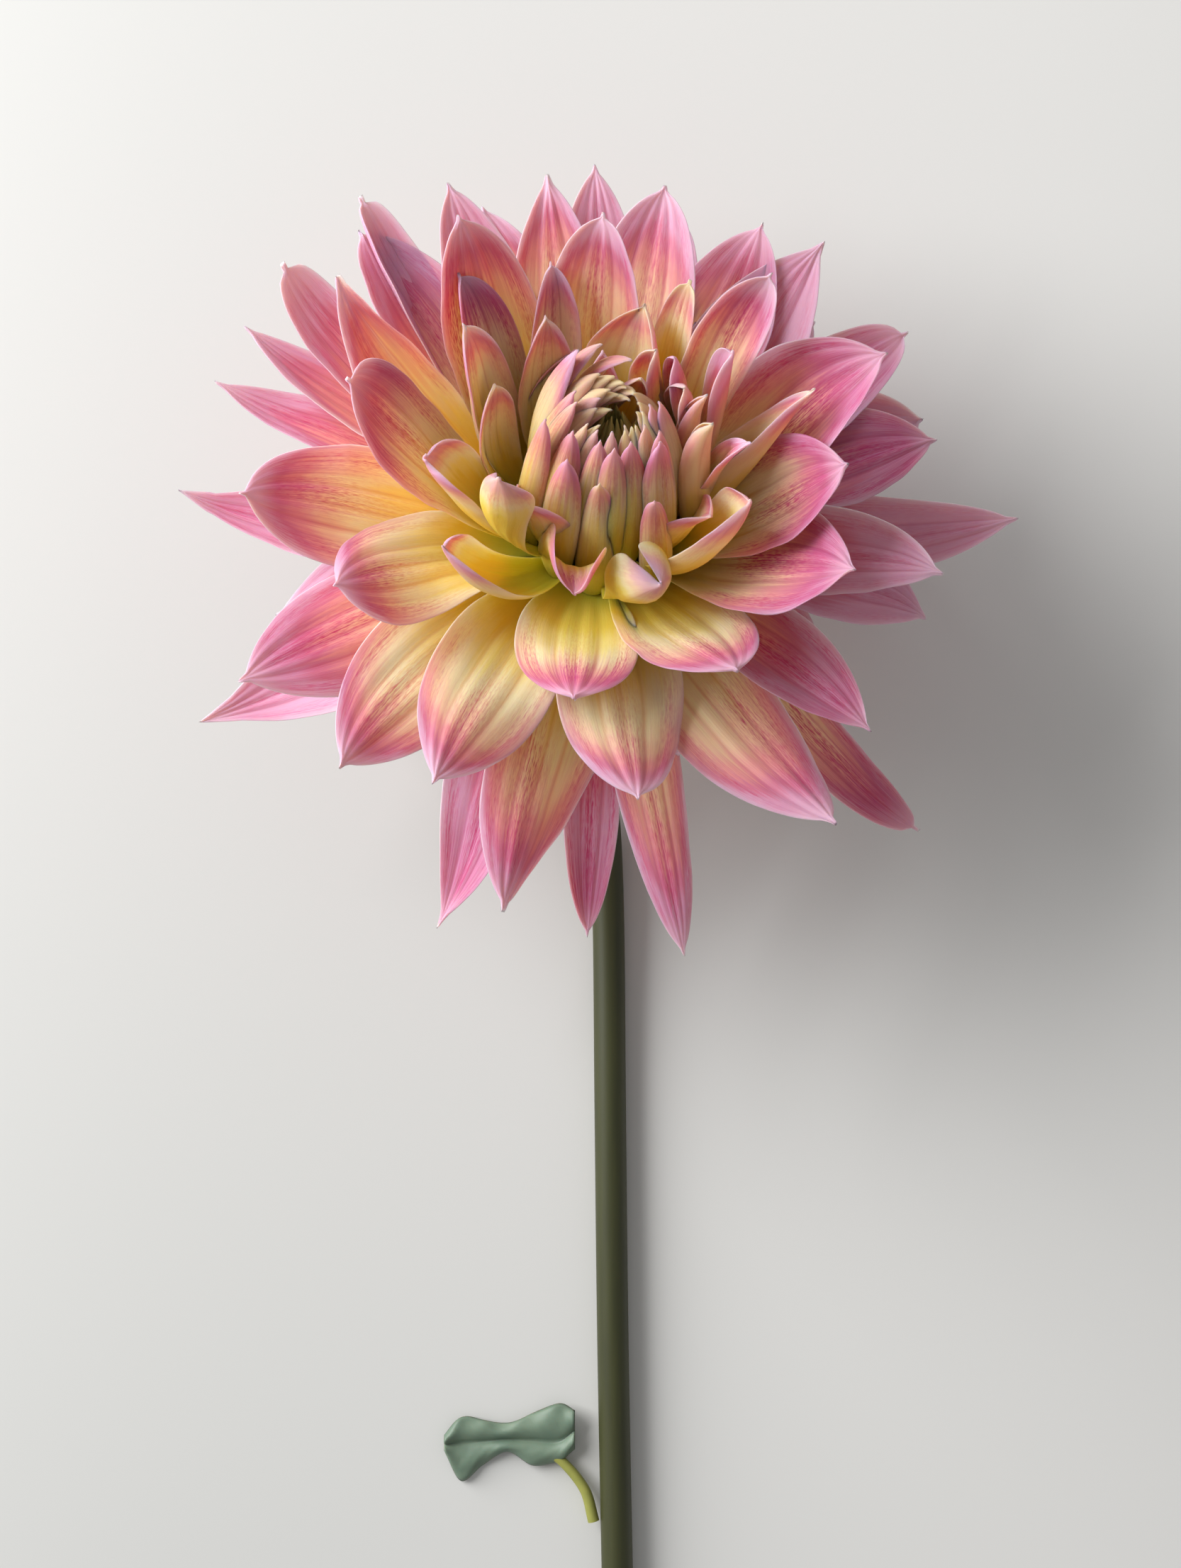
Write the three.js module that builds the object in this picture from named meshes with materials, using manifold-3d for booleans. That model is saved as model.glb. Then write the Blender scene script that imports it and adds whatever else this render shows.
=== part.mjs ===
// A cut dahlia bloom with its stem and one small leaf, laid on a level surface.
// Lengths are in millimetres and angles in degrees. +Z is up. The stem lies along -Y and the bloom faces up
// and toward +Y. A bloom direction is a lean away from the bloom's axis and a clock angle round it: clock 0
// is the side toward +Y and clock 90 the side toward +X.
import * as THREE from "three";
import Module from "manifold-3d";

// ---- driving dimensions ----
const BLOOM_TILT = 36; // bloom axis, from upright toward +Y
const BLOOM_SIDE = 4; // bloom axis, toward +X
const HEART_HEIGHT = 47; // middle of the receptacle above the surface
// The core that the florets stand out of, from the back to the front: radius and height along the axis.
const CORE = [[9, -9], [15, -8], [18, -2], [18, 4.5], [16, 11], [11.5, 15.5], [6.5, 18]];
const HEART_BOTTOM = CORE[0][1];
const HEART_TOP = 13; // floor of the hollow that holds the eye, along the axis
const PETAL_THICKNESS = 0.7;
const ROOT_THICKNESS = 1.3;
const SMALL_FLORET = 10; // florets narrower than this get fewer facets
const SEAT_GAP = 0.3; // between nodes that are seated on each other

const EYE_RADIUS = 4.4;
const EYE_HEIGHT = 30; // tips of the young florets, along the axis
const EYE_FLORETS = 12;

const STEM_RADIUS = 3.1;
const STEM_REST = 2.9; // height of the middle line where the stem lies, a little pressed flat
const CALYX_RADIUS = 8;
const CALYX_LENGTH = 8;
const BRACTS = 7;
const BRACT = { length: 15, width: 7, lean: 142, thickness: 0.9 };

const LEAF_THICKNESS = 0.8;
const STALK_RADIUS = 1.1;

// Where a floret is rooted, just inside the core: the lean of its root is
// base + byLean x its own lean + byReach x its reach, and it leaves this much more upright than straight
// out.
const GROWTH = { radius: 16.5, base: 34, byLean: 0.4, byReach: 0.3, upright: 6 };
const HEART_GROWTH = { radius: 15.5, base: 30, byLean: 1.6, byReach: 0.3, upright: 40 };

// Ray florets: clock, lean, reach of the tip from the heart, width, cup (turn of the cross-section on each
// side of the midrib), bend (the tip leans this much more than the floret), twist, hook (tip curled in), roll
// (cup of the outer half, negative where it is arched toward the viewer), sway (the tip drifts sideways),
// place of the greatest width along it, and bluntness of the point.
const OUTER_FLORETS = [
  [1, 62, 71, 16, 25, 14, 1, 0, 20, -1, 0.5, 0.8],
  [341, 68, 68, 17, 20, 15, 0, 0, 20, 0, 0.5, 0.7],
  [319, 69, 77, 11, 50, 3, 12, 3, 65, 4.5, 0.5, 0.35],
  [304, 74, 77, 14, 45, -14, -11, 3, 35, 5.5, 0.55, 0.35],
  [300, 80, 76, 14, 40, -2, 7, 2, 25, 0.5, 0.45, 0.75],
  [296, 87, 76, 13.5, 40, 6, -7, 4, 30, -2, 0.45, 0.75],
  [276, 97, 78, 19, 45, -9, -21, 2, 35, 8.5, 0.35, 1.1],
  [252, 115, 80, 21.5, 50, -1, -29, 3, 35, 6, 0.4, 1.1],
  [210, 135, 77, 17.5, 40, 9, 17, 3, 30, -0.5, 0.5, 0.95],
  [183, 134, 73, 10.5, 40, 12, -3, 0, 40, -1.5, 0.5, 0.65],
  [172, 114, 77, 12.5, 35, 17, 7, -2, -30, -4, 0.4, 0.65],
  [128, 116, 79, 12.5, 40, -1, 11, 2, -15, -4, 0.45, 0.4],
  [95, 108, 68, 20.5, 30, 21, 14, -3, 15, -5.5, 0.45, 0.95],
  [94, 86, 76, 18.5, 40, -7, 20, 0, 15, -5.5, 0.35, 0.75],
  [67, 85, 67, 21.5, 30, 18, 12, 0, 35, 0.5, 0.55, 0.7],
  [61, 76, 69, 18, 30, 13, 22, 2, 35, -3, 0.5, 0.5],
  [44, 64, 69, 21.5, 30, 10, 12, 0, 25, -2, 0.5, 1],
  [44, 78, 62, 15.5, 30, 15, 0, 0, 25, 0, 0.5, 0.7],
  [16, 68, 66, 15.5, 30, 15, 0, 0, 25, 0, 0.5, 0.7],
];
const MIDDLE_FLORETS = [
  [347, 57, 67, 18, 40, 0, -16, 0, 35, 3.5, 0.5, 0.85],
  [12, 53, 65, 19.5, 35, 9, -3, 0, 35, 1, 0.55, 0.65],
  [33, 63, 66, 22.5, 35, 2, -9, 2, 20, -1, 0.55, 0.65],
  [79, 47, 63, 24.5, 40, 6, 18, 0, 40, 3.5, 0.55, 0.7],
  [76, 81, 65, 21, 40, 14, 17, 0, 35, -0.5, 0.55, 0.8],
  [112, 73, 64, 21, 35, 14, 7, 0, 20, 0.5, 0.5, 0.75],
  [134, 88, 63, 16.5, 30, 12, 9, 0, 20, 1.5, 0.55, 0.85],
  [158, 93, 70, 21.5, 35, -4, 1, 0, -25, -12, 0.5, 0.7],
  [160, 103, 52, 20.5, 30, 10, 0, 0, -20, 0, 0.5, 0.65],
  [179, 89, 58, 22.5, 30, 10, -10, 0, -30, -2.5, 0.5, 0.6],
  [194, 107, 72, 20, 30, 8, -41, 0, -45, 2.5, 0.45, 0.75],
  [212, 90, 62, 22, 40, 13, -20, 0, -25, -2.5, 0.55, 0.8],
  [228, 93, 67, 22.5, 35, 22, -28, 3, -20, -4.5, 0.55, 0.7],
  [244, 89, 72, 24.5, 35, 9, -14, 2, 20, -3, 0.55, 0.8],
  [262, 71, 68, 24.5, 35, 12, -24, 3, -10, -1.5, 0.55, 0.55],
  [245, 68, 59, 21.5, 35, 3, -9, 0, -30, -6.5, 0.65, 0.6],
  [266, 51, 60, 21, 55, -3, -20, 2, 35, 3.5, 0.7, 0.45],
  [288, 47, 70, 24, 35, 4, 4, 3, 15, -1, 0.45, 0.9],
  [317, 71, 72, 21.5, 35, 16, 6, 2, 45, 4, 0.5, 0.65],
  [331, 59, 70, 17, 40, -4, -13, 0, 30, 2, 0.5, 0.7],
  [316, 37, 64, 20, 40, -9, -16, 0, 25, 0.5, 0.55, 0.6],
  [354, 31, 59, 17.5, 45, -8, -30, 0, 45, 2, 0.55, 0.45],
];
const INNER_FLORETS = [
  [306, 39, 55, 14.5, 45, 0, 0, 0, 40, 3, 0.6, 0.55],
  [51, 28, 59, 11.5, 60, -1, 32, 0, 55, 5.5, 0.75, 0.5],
  [290, 33, 51, 14, 50, -14, -13, 0, 40, 1, 0.55, 0.6],
  [333, 34, 51, 10, 55, -3, -6, 0, 50, 3, 0.55, 0.5],
  [273, 34, 42, 11, 60, -29, -46, 0, 45, 4.5, 0.6, 0.6],
  [321, 28, 44, 11.5, 50, -16, -20, 0, 45, 2, 0.5, 0.65],
  [316, 33, 38, 8.5, 50, -35, -37, 0, 45, 9, 0.55, 0.7],
  [355, 21, 37, 8.5, 50, -10, 0, 0, 55, 0, 0.5, 0.7],
  [17, 30, 44, 17.5, 70, -4, -23, 0, 80, 0, 0.5, 0.65],
  [33, 32, 50, 7.5, 50, 0, 1, 0, 60, -0.5, 0.55, 0.35],
  [77, 26, 46.5, 9.5, 55, -26, -21, 0, 70, -1.5, 0.75, 0.4],
  [94, 40, 51.5, 9, 120, -14, -20, 0, 85, -2.5, 0.45, 0.7],
  [97, 34, 45, 9, 75, 5, -15, 0, 45, 10, 0.55, 0.7],
  [108, 49, 54, 22.5, 45, -6, 31, 0, 25, 1, 0.55, 0.65],
  [124, 60, 56, 23.5, 45, -1, 27, 0, 10, 3, 0.55, 0.75],
  [142, 46, 44.5, 15, 75, -34, 33, 0, 80, -7, 0.55, 0.6],
  [159, 71, 50, 21.5, 45, 6, 2, 0, -5, -3, 0.6, 0.6],
  [193, 78, 46, 21.5, 25, 9, 15, 0, -10, -3, 0.6, 0.65],
  [218, 64, 47, 11, 60, -22, -41, 0, 85, 11, 0.6, 0.5],
  [249, 48, 46.5, 12.5, 65, -12, -25, 0, 80, 2.5, 0.6, 0.3],
  [230, 37, 45, 9, 0, -60, 11, 0, 115, -1, 0.75, 0.65],
  [209, 57, 33.5, 11.5, 10, 66, -3, -1, 110, -7.5, 0.55, 0.55],
  [169, 55, 39, 11.5, 0, -37, 22, 1, 165, -2, 0.45, 0.5],
  [138, 42, 36, 13, 60, 0, 0, 0, 60, 0, 0.5, 0.55],
  [225, 40, 36, 13, 60, 0, 0, 0, 60, 0, 0.5, 0.55],
];
const HEART_FLORETS = [
  [239, 20, 41, 6.5, 60, -35, 0, 0, 70, 0, 0.5, 0.6],
  [262, 10, 40.5, 6.5, 60, -45, 0, 0, 70, -1, 0.5, 0.6],
  [221, 17, 39, 7, 60, -40, 0, 0, 75, 0, 0.5, 0.6],
  [213, 24, 38.5, 7.5, 60, -35, 0, 0, 75, 0, 0.5, 0.6],
  [196, 16, 38, 6.5, 60, -45, 0, 0, 75, 0, 0.5, 0.6],
  [168, 16, 38, 7, 60, -45, 0, 0, 75, 0, 0.5, 0.6],
  [148, 19, 39.5, 7.5, 60, -40, 0, 0, 75, 0, 0.5, 0.6],
  [118, 11, 38.5, 6.5, 60, -50, 0, 0, 70, -1.5, 0.5, 0.6],
  [218, 12, 37, 5, 60, -52, 0, 0, 70, -2, 0.5, 0.6],
  [186, 12, 37, 4.5, 60, -52, 0, 0, 70, 0, 0.5, 0.6],
  [262, 4, 37.5, 5.5, 60, -80, 0, 0, 100, -1, 0.5, 0.6],
  [276, 4, 38.5, 6, 60, -80, 0, 0, 100, 3, 0.5, 0.6],
  [268, 8, 41.5, 9, 50, -60, 0, 0, 60, 6.5, 0.5, 0.6],
  [318, 3, 39.5, 7, 50, -85, 0, 0, 60, 6, 0.5, 0.6],
  [14, 13, 41, 11, 50, -45, 0, 0, 70, 5, 0.5, 0.6],
  [92, 16, 41, 9.5, 50, -60, 0, 0, 70, 0, 0.5, 0.6],
  [93, 21, 41.5, 5.5, 120, -10, 0, 0, 150, 0, 0.5, 0.6],
  [115, 25, 41.5, 5, 120, -5, 0, 0, 150, 0, 0.5, 0.6],
  [189, 27, 36.5, 7, 60, -19, -9, 0, 70, 0.5, 0.45, 0.65],
  [153, 33, 36.5, 6, 60, -28, -19, 0, 70, 3, 0.5, 0.45],
];
// The hidden florets at the back. The flat ones at 36 and 324 are pressed on the surface, and none is needed
// where the stem leaves the bloom.
const BACK_FLORETS = [
  [12, 101, 69, 17, 30, 12, 0, 0, 30, 0, 0.5, 0.8],
  [36, 114, 69, 14, 5, -42, 0, 0, -5, 0, 0.5, 0.8],
  [60, 112, 67, 17, 30, 12, 0, 0, 30, 0, 0.5, 0.8],
  [84, 112, 65, 17, 30, 12, 0, 0, 30, 0, 0.5, 0.8],
  [108, 114, 62, 17, 30, 12, 0, 0, 30, 0, 0.5, 0.8],
  [132, 116, 58, 17, 30, 12, 0, 0, 30, 0, 0.5, 0.8],
  [228, 118, 58, 17, 30, 12, 0, 0, 30, 0, 0.5, 0.8],
  [252, 116, 62, 17, 30, 12, 0, 0, 30, 0, 0.5, 0.8],
  [276, 116, 66, 17, 30, 12, 0, 0, 30, 0, 0.5, 0.8],
  [300, 118, 68, 17, 30, 12, 0, 0, 30, 0, 0.5, 0.8],
  [324, 121, 69, 14, 5, -42, 0, 0, -5, 0, 0.5, 0.8],
  [348, 103, 69, 17, 30, 12, 0, 0, 30, 0, 0.5, 0.8],
];

// Middle line of the stem below the neck, and the blade of the leaf: for each place along it the far edge,
// the vein and the near edge across it, and how high the vein is.
const STEM_LINE = [
  [-2.1, -20, 20.5],
  [-1, -33, 10],
  [1, -49, 4.6],
  [2, -70, STEM_REST],
  [2.4, -110, STEM_REST],
  [3, -160, STEM_REST],
  [4.3, -225, STEM_REST],
];
const STALK_LINE = [
  [-0.9, -190, 2.7],
  [-2.6, -184, 2.3],
  [-6.6, -179, 1.6],
  [-10, -176.6, 1.3],
];
const LEAF_BLADE = [
  [-4.6, -168, -172, -176, 2.2],
  [-8, -166.8, -174.5, -178.6, 1.6],
  [-13, -168.9, -174.3, -179.4, 1.2],
  [-18.3, -170.9, -174.2, -176.8, 1],
  [-23, -170.2, -174.6, -179.6, 0.8],
  [-27.4, -169.8, -174.9, -182.6, 0.8],
  [-30.6, -173.2, -175.2, -176.4, 1.4],
];

// ---- directions ----
const rad = THREE.MathUtils.degToRad;
const AXIS = new THREE.Vector3(
  Math.sin(rad(BLOOM_SIDE)),
  Math.cos(rad(BLOOM_SIDE)) * Math.sin(rad(BLOOM_TILT)),
  Math.cos(rad(BLOOM_SIDE)) * Math.cos(rad(BLOOM_TILT)),
);
const CLOCK_0 = new THREE.Vector3(0, 1, 0).addScaledVector(AXIS, -AXIS.y).normalize();
const CLOCK_90 = CLOCK_0.clone().cross(AXIS);
const HEART = new THREE.Vector3(0, 0, HEART_HEIGHT);

function radial(clock) {
  return CLOCK_0.clone().multiplyScalar(Math.cos(rad(clock))).addScaledVector(CLOCK_90, Math.sin(rad(clock)));
}

function direction(clock, lean) {
  return AXIS.clone().multiplyScalar(Math.cos(rad(lean))).addScaledVector(radial(clock), Math.sin(rad(lean)));
}

function alongAxis(height) {
  return HEART.clone().addScaledVector(AXIS, height);
}

// ---- solids ----
const wasm = await Module();
wasm.setup();

function toSolid(points, triangles) {
  const mesh = new wasm.Mesh({
    numProp: 3,
    vertProperties: new Float32Array(points.flatMap((p) => [p.x, p.y, p.z])),
    triVerts: new Uint32Array(triangles.flat()),
  });
  mesh.merge();
  return new wasm.Manifold(mesh);
}

// A closed sheet from rows of its middle surface: every place has a point, a normal and half a thickness.
function sheet(rows) {
  const across = rows[0].length;
  const places = rows.flat();
  const points = [
    ...places.map((s) => s.point.clone().addScaledVector(s.normal, s.half)),
    ...places.map((s) => s.point.clone().addScaledVector(s.normal, -s.half)),
  ];
  const under = places.length;
  const triangles = [];
  const quad = (a, b, c, d) => triangles.push([a, b, c], [a, c, d]);
  for (let j = 0; j + 1 < rows.length; j += 1) {
    for (let i = 0; i + 1 < across; i += 1) {
      const a = j * across + i;
      const d = a + across;
      triangles.push([a, a + 1, d + 1], [a, d + 1, d]);
      triangles.push([under + a, under + d + 1, under + a + 1], [under + a, under + d, under + d + 1]);
    }
    const left = j * across;
    const right = left + across - 1;
    quad(left, left + across, under + left + across, under + left);
    quad(right + across, right, under + right, under + right + across);
  }
  const last = (rows.length - 1) * across;
  for (let i = 0; i + 1 < across; i += 1) {
    quad(i + 1, i, under + i, under + i + 1);
    quad(last + i, last + i + 1, under + last + i + 1, under + last + i);
  }
  return { points, triangles };
}

// What hangs lower than the surface lies flat on it instead.
function layDown({ points, triangles }, thickness) {
  const half = points.length / 2;
  for (let k = 0; k < half; k += 1) {
    const [low, high] = points[k].z < points[half + k].z ? [k, half + k] : [half + k, k];
    points[low].z = Math.max(points[low].z, 0);
    points[high].z = Math.max(points[high].z, points[low].z === 0 ? thickness : 0);
  }
  return { points, triangles };
}

// A round bar of the given radii along a smooth line, closed at both ends.
function bar(line, radii, sides, steps) {
  const curve = new THREE.CatmullRomCurve3(line);
  const frames = curve.computeFrenetFrames(steps, false);
  const points = [];
  const triangles = [];
  for (let j = 0; j <= steps; j += 1) {
    const middle = curve.getPointAt(j / steps);
    const radius = radii(j / steps);
    for (let i = 0; i < sides; i += 1) {
      const turn = (2 * Math.PI * i) / sides;
      const out = frames.normals[j].clone().multiplyScalar(radius * Math.cos(turn));
      out.addScaledVector(frames.binormals[j], radius * Math.sin(turn));
      points.push(middle.clone().add(out));
    }
  }
  for (let j = 0; j < steps; j += 1) {
    for (let i = 0; i < sides; i += 1) {
      const a = j * sides + i;
      const b = j * sides + ((i + 1) % sides);
      triangles.push([a, b, b + sides], [a, b + sides, a + sides]);
    }
  }
  const last = steps * sides;
  for (let i = 1; i + 1 < sides; i += 1) {
    triangles.push([0, i + 1, i], [last, last + i, last + i + 1]);
  }
  points.forEach((p) => { p.z = Math.max(p.z, 0); });
  return toSolid(points, triangles);
}

// A solid of revolution about the bloom's axis from pairs of radius and height, the lowest first.
function turned(profile, sides) {
  const points = profile.flatMap(([radius, height]) =>
    Array.from({ length: sides }, (_, i) =>
      alongAxis(height).addScaledVector(radial((360 * i) / sides), radius)));
  const triangles = [];
  for (let j = 0; j + 1 < profile.length; j += 1) {
    for (let i = 0; i < sides; i += 1) {
      const a = j * sides + i;
      const b = j * sides + ((i + 1) % sides);
      triangles.push([a, b + sides, b], [a, a + sides, b + sides]);
    }
  }
  const last = (profile.length - 1) * sides;
  for (let i = 1; i + 1 < sides; i += 1) {
    triangles.push([0, i, i + 1], [last, last + i + 1, last + i]);
  }
  return toSolid(points, triangles);
}

// The largest outer shell alone: pockets closed in between crossing roots are filled with it.
function outerShell(solid) {
  return solid.decompose().reduce((largest, shell) => (shell.volume() > largest.volume() ? shell : largest));
}

// ---- florets ----
// Half the width of a floret, as a share of its widest, from the root (0) to the tip (1).
function outline(along, widest = 0.6, point = 0.7) {
  const claw = 0.45;
  if (along < widest) {
    return claw + (1 - claw) * Math.sin((Math.PI / 2) * (along / widest)) ** 1.3;
  }
  const left = (1 - along) / (1 - widest);
  return Math.max(0.1, (1 - (1 - left) ** 2.1) ** point);
}

function floretLine([clock, lean, reach, , , bend], growth) {
  const rootLean = growth.base + growth.byLean * lean + growth.byReach * reach;
  const root = HEART.clone().addScaledVector(direction(clock, rootLean), growth.radius);
  const tip = HEART.clone().addScaledVector(direction(clock, lean), reach);
  const span = tip.distanceTo(root);
  return new THREE.CubicBezierCurve3(
    root,
    root.clone().addScaledVector(direction(clock, rootLean - growth.upright), span * 0.35),
    tip.clone().addScaledVector(direction(clock, lean + bend), -span * 0.35),
    tip,
  );
}

function floret(row, growth) {
  const [clock, , , width, cup, , twist, hook, roll, sway, widest, point] = row;
  const small = width < SMALL_FLORET;
  const stations = small ? [0, 0.4, 0.75, 1] : [0, 0.28, 0.55, 0.8, 1];
  const across = !small && Math.abs(roll) > 95 ? 5 : 3;
  const line = floretLine(row, growth);
  const sideways = radial(clock).cross(AXIS);
  const rows = stations.map((along) => {
    const tangent = line.getTangent(along);
    const side = sideways.clone().applyAxisAngle(tangent, rad(twist * along));
    const face = side.clone().cross(tangent);
    const curl = hook * Math.max(0, (along - 0.75) / 0.25) ** 2;
    const middle = line.getPoint(along).addScaledVector(face, curl).addScaledVector(side, sway * along ** 2);
    const turn = rad(THREE.MathUtils.lerp(cup, roll, THREE.MathUtils.smoothstep(along, 0.3, 0.8)));
    const arc = Math.max(Math.abs(turn), 0.03);
    const bow = ((width / 2) * outline(along, widest, point)) / Math.sin(Math.min(arc, Math.PI / 2));
    const half = THREE.MathUtils.lerp(ROOT_THICKNESS, PETAL_THICKNESS, Math.min(1, along * 3)) / 2;
    return Array.from({ length: across }, (_, i) => {
      const angle = arc * ((2 * i) / (across - 1) - 1);
      const lift = Math.sign(turn) * bow * (1 - Math.cos(angle));
      const spot = middle.clone().addScaledVector(side, bow * Math.sin(angle)).addScaledVector(face, lift);
      const normal = face.clone().multiplyScalar(Math.cos(angle));
      normal.addScaledVector(side, -Math.sign(turn) * Math.sin(angle));
      return { point: spot, normal, half };
    });
  });
  const { points, triangles } = layDown(sheet(rows), PETAL_THICKNESS);
  return toSolid(points, triangles);
}

function makePetals() {
  const rays = [...BACK_FLORETS, ...OUTER_FLORETS, ...MIDDLE_FLORETS, ...INNER_FLORETS];
  const florets = [
    ...rays.map((row) => floret(row, GROWTH)),
    ...HEART_FLORETS.map((row) => floret(row, HEART_GROWTH)),
  ];
  const eyeRoom = turned([
    [EYE_RADIUS + SEAT_GAP, HEART_TOP],
    [EYE_RADIUS + SEAT_GAP, EYE_HEIGHT + 1],
  ], 12);
  return outerShell(wasm.Manifold.union([turned(CORE, 16), ...florets]).subtract(eyeRoom));
}

// ---- the other nodes ----
// Young florets still closed, packed in a spiral on a disc that sits on the flat of the receptacle.
function makeEye() {
  const goldenTurn = 137.5;
  const disc = turned([[EYE_RADIUS, HEART_TOP + SEAT_GAP], [EYE_RADIUS, HEART_TOP + 3],
    [EYE_RADIUS - 0.8, HEART_TOP + 6]], 10);
  const buds = Array.from({ length: EYE_FLORETS }, (_, i) => {
    const out = (EYE_RADIUS - 1.1) * Math.sqrt((i + 0.5) / EYE_FLORETS);
    const foot = alongAxis(HEART_TOP + 3).addScaledVector(radial(goldenTurn * i), out);
    const tip = alongAxis(EYE_HEIGHT - 3 + out * 0.7).addScaledVector(radial(goldenTurn * i), out * 0.9);
    const middle = foot.clone().lerp(tip, 0.6);
    return bar([foot, middle, tip], (along) => 1.1 * (1 - 0.6 * along ** 3), 5, 3);
  });
  return wasm.Manifold.union([disc, ...buds]);
}

function makeStem() {
  const calyx = turned([[STEM_RADIUS, HEART_BOTTOM - CALYX_LENGTH], [CALYX_RADIUS - 0.6, HEART_BOTTOM - 2],
    [CALYX_RADIUS, HEART_BOTTOM - SEAT_GAP]], 12);
  const line = [alongAxis(HEART_BOTTOM - 1), alongAxis(HEART_BOTTOM - 9),
    ...STEM_LINE.map((p) => new THREE.Vector3(...p))];
  const stalk = bar(line, (along) => STEM_RADIUS * (1.04 - 0.04 * along), 10, 34);
  const bracts = Array.from({ length: BRACTS }, (_, i) => bract((360 * (i + 0.5)) / BRACTS));
  return wasm.Manifold.union([calyx, stalk, ...bracts]);
}

function bract(clock) {
  const { length, width, lean, thickness } = BRACT;
  const side = radial(clock).cross(AXIS);
  const foot = alongAxis(HEART_BOTTOM - 2.2).addScaledVector(radial(clock), CALYX_RADIUS - 2.5);
  const elbow = foot.clone().addScaledVector(direction(clock, 95), length * 0.35);
  const tip = elbow.clone().addScaledVector(direction(clock, lean), length * 0.65);
  const line = new THREE.QuadraticBezierCurve3(foot, elbow, tip);
  const rows = [0, 0.35, 0.7, 1].map((along) => {
    const normal = side.clone().cross(line.getTangent(along));
    return [-1, 0, 1].map((across) => {
      const point = line.getPoint(along).addScaledVector(side, across * (width / 2) * outline(along));
      point.addScaledVector(normal, Math.abs(across) * -0.6);
      return { point, normal, half: thickness / 2 };
    });
  });
  const { points, triangles } = sheet(rows);
  return toSolid(points, triangles);
}

function makeLeaf() {
  const half = LEAF_THICKNESS / 2;
  const normal = new THREE.Vector3(0, 0, 1);
  const rows = LEAF_BLADE.map(([x, far, vein, near, height]) => [
    [near, height - 0.4], [(near + vein) / 2, height + 0.5], [vein, height - 0.2],
    [(far + vein) / 2, height + 0.6], [far, height]].map(([y, z]) =>
    ({ point: new THREE.Vector3(x, y, Math.max(z, half)), normal, half })));
  const blade = sheet(rows);
  const stalk = bar(STALK_LINE.map((p) => new THREE.Vector3(...p)), () => STALK_RADIUS, 6, 6);
  return toSolid(blade.points, blade.triangles).add(stalk);
}

// ---- nodes ----
function toNode(name, solid, colour, roughness) {
  const { numProp, vertProperties, triVerts } = solid.getMesh();
  const geometry = new THREE.BufferGeometry();
  const places = Array.from({ length: vertProperties.length / numProp }, (_, i) =>
    Array.from(vertProperties.subarray(i * numProp, i * numProp + 3)));
  geometry.setAttribute("position", new THREE.Float32BufferAttribute(places.flat(), 3));
  geometry.setIndex(Array.from(triVerts));
  const material = new THREE.MeshStandardMaterial({ color: colour, roughness, metalness: 0 });
  const node = new THREE.Mesh(geometry, material);
  node.name = name;
  return node;
}

const flower = new THREE.Group();
flower.name = "dahlia_flower";
const stem = makeStem();
flower.add(
  toNode("petals", makePetals(), 0xd98f92, 0.6),
  toNode("eye", makeEye(), 0x55571f, 0.7),
  toNode("stem", stem, 0x585a3a, 0.6),
  toNode("leaf", makeLeaf(), 0x66796a, 0.7),
);
const size = new THREE.Box3().setFromObject(flower);
const middle = size.getCenter(new THREE.Vector3());
flower.position.set(-middle.x, -middle.y, 0);

export default flower;
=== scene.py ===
"""A cut dahlia bloom on its stem with one small leaf, laid on a pale floor and seen from above.

Lengths in the tables are millimetres and angles degrees; the scene itself is in metres. A bloom direction is a
lean away from the bloom's axis and a clock angle round it: clock 0 is the side toward +Y, clock 90 toward +X.
"""

import math
import random

import bmesh
import bpy
from mathutils import Matrix, Vector


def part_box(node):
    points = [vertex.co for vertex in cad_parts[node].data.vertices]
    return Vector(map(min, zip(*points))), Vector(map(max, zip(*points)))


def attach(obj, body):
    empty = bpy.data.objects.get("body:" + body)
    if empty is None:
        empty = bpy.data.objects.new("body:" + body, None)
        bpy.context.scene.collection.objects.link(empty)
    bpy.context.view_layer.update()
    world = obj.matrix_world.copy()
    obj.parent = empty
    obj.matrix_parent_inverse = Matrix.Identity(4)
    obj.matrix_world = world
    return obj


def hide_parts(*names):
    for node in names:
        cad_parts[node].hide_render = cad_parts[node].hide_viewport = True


bl_info = {
    "name": "Dahlia Flower",
    "version": (1, 0, 0),
    "blender": (4, 5, 0),
    "location": "View3D > Sidebar > Dahlia",
    "description": "Builds a cut dahlia bloom with its stem and a leaf on a pale floor",
    "category": "Object",
}

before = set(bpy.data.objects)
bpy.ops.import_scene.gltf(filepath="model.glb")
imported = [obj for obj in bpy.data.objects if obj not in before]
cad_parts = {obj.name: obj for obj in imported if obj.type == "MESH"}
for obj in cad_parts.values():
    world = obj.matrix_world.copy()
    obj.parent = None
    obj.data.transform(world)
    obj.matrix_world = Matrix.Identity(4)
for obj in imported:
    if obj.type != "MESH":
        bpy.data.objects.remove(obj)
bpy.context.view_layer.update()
MM = 0.001

# Where the solids' own origin, under the middle of the bloom, lies in the frame: read from two of their ends.
STEM_END_Y = -225.062
LEAF_TIP_X = -30.6
ORIGIN = Vector((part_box("leaf")[0].x - LEAF_TIP_X * MM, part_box("stem")[0].y - STEM_END_Y * MM, 0))

# How far the bloom's axis leans toward +Y and toward +X, and how high its heart lies.
BLOOM_TILT = 36
BLOOM_SIDE = 4
HEART_HEIGHT = 47

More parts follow.
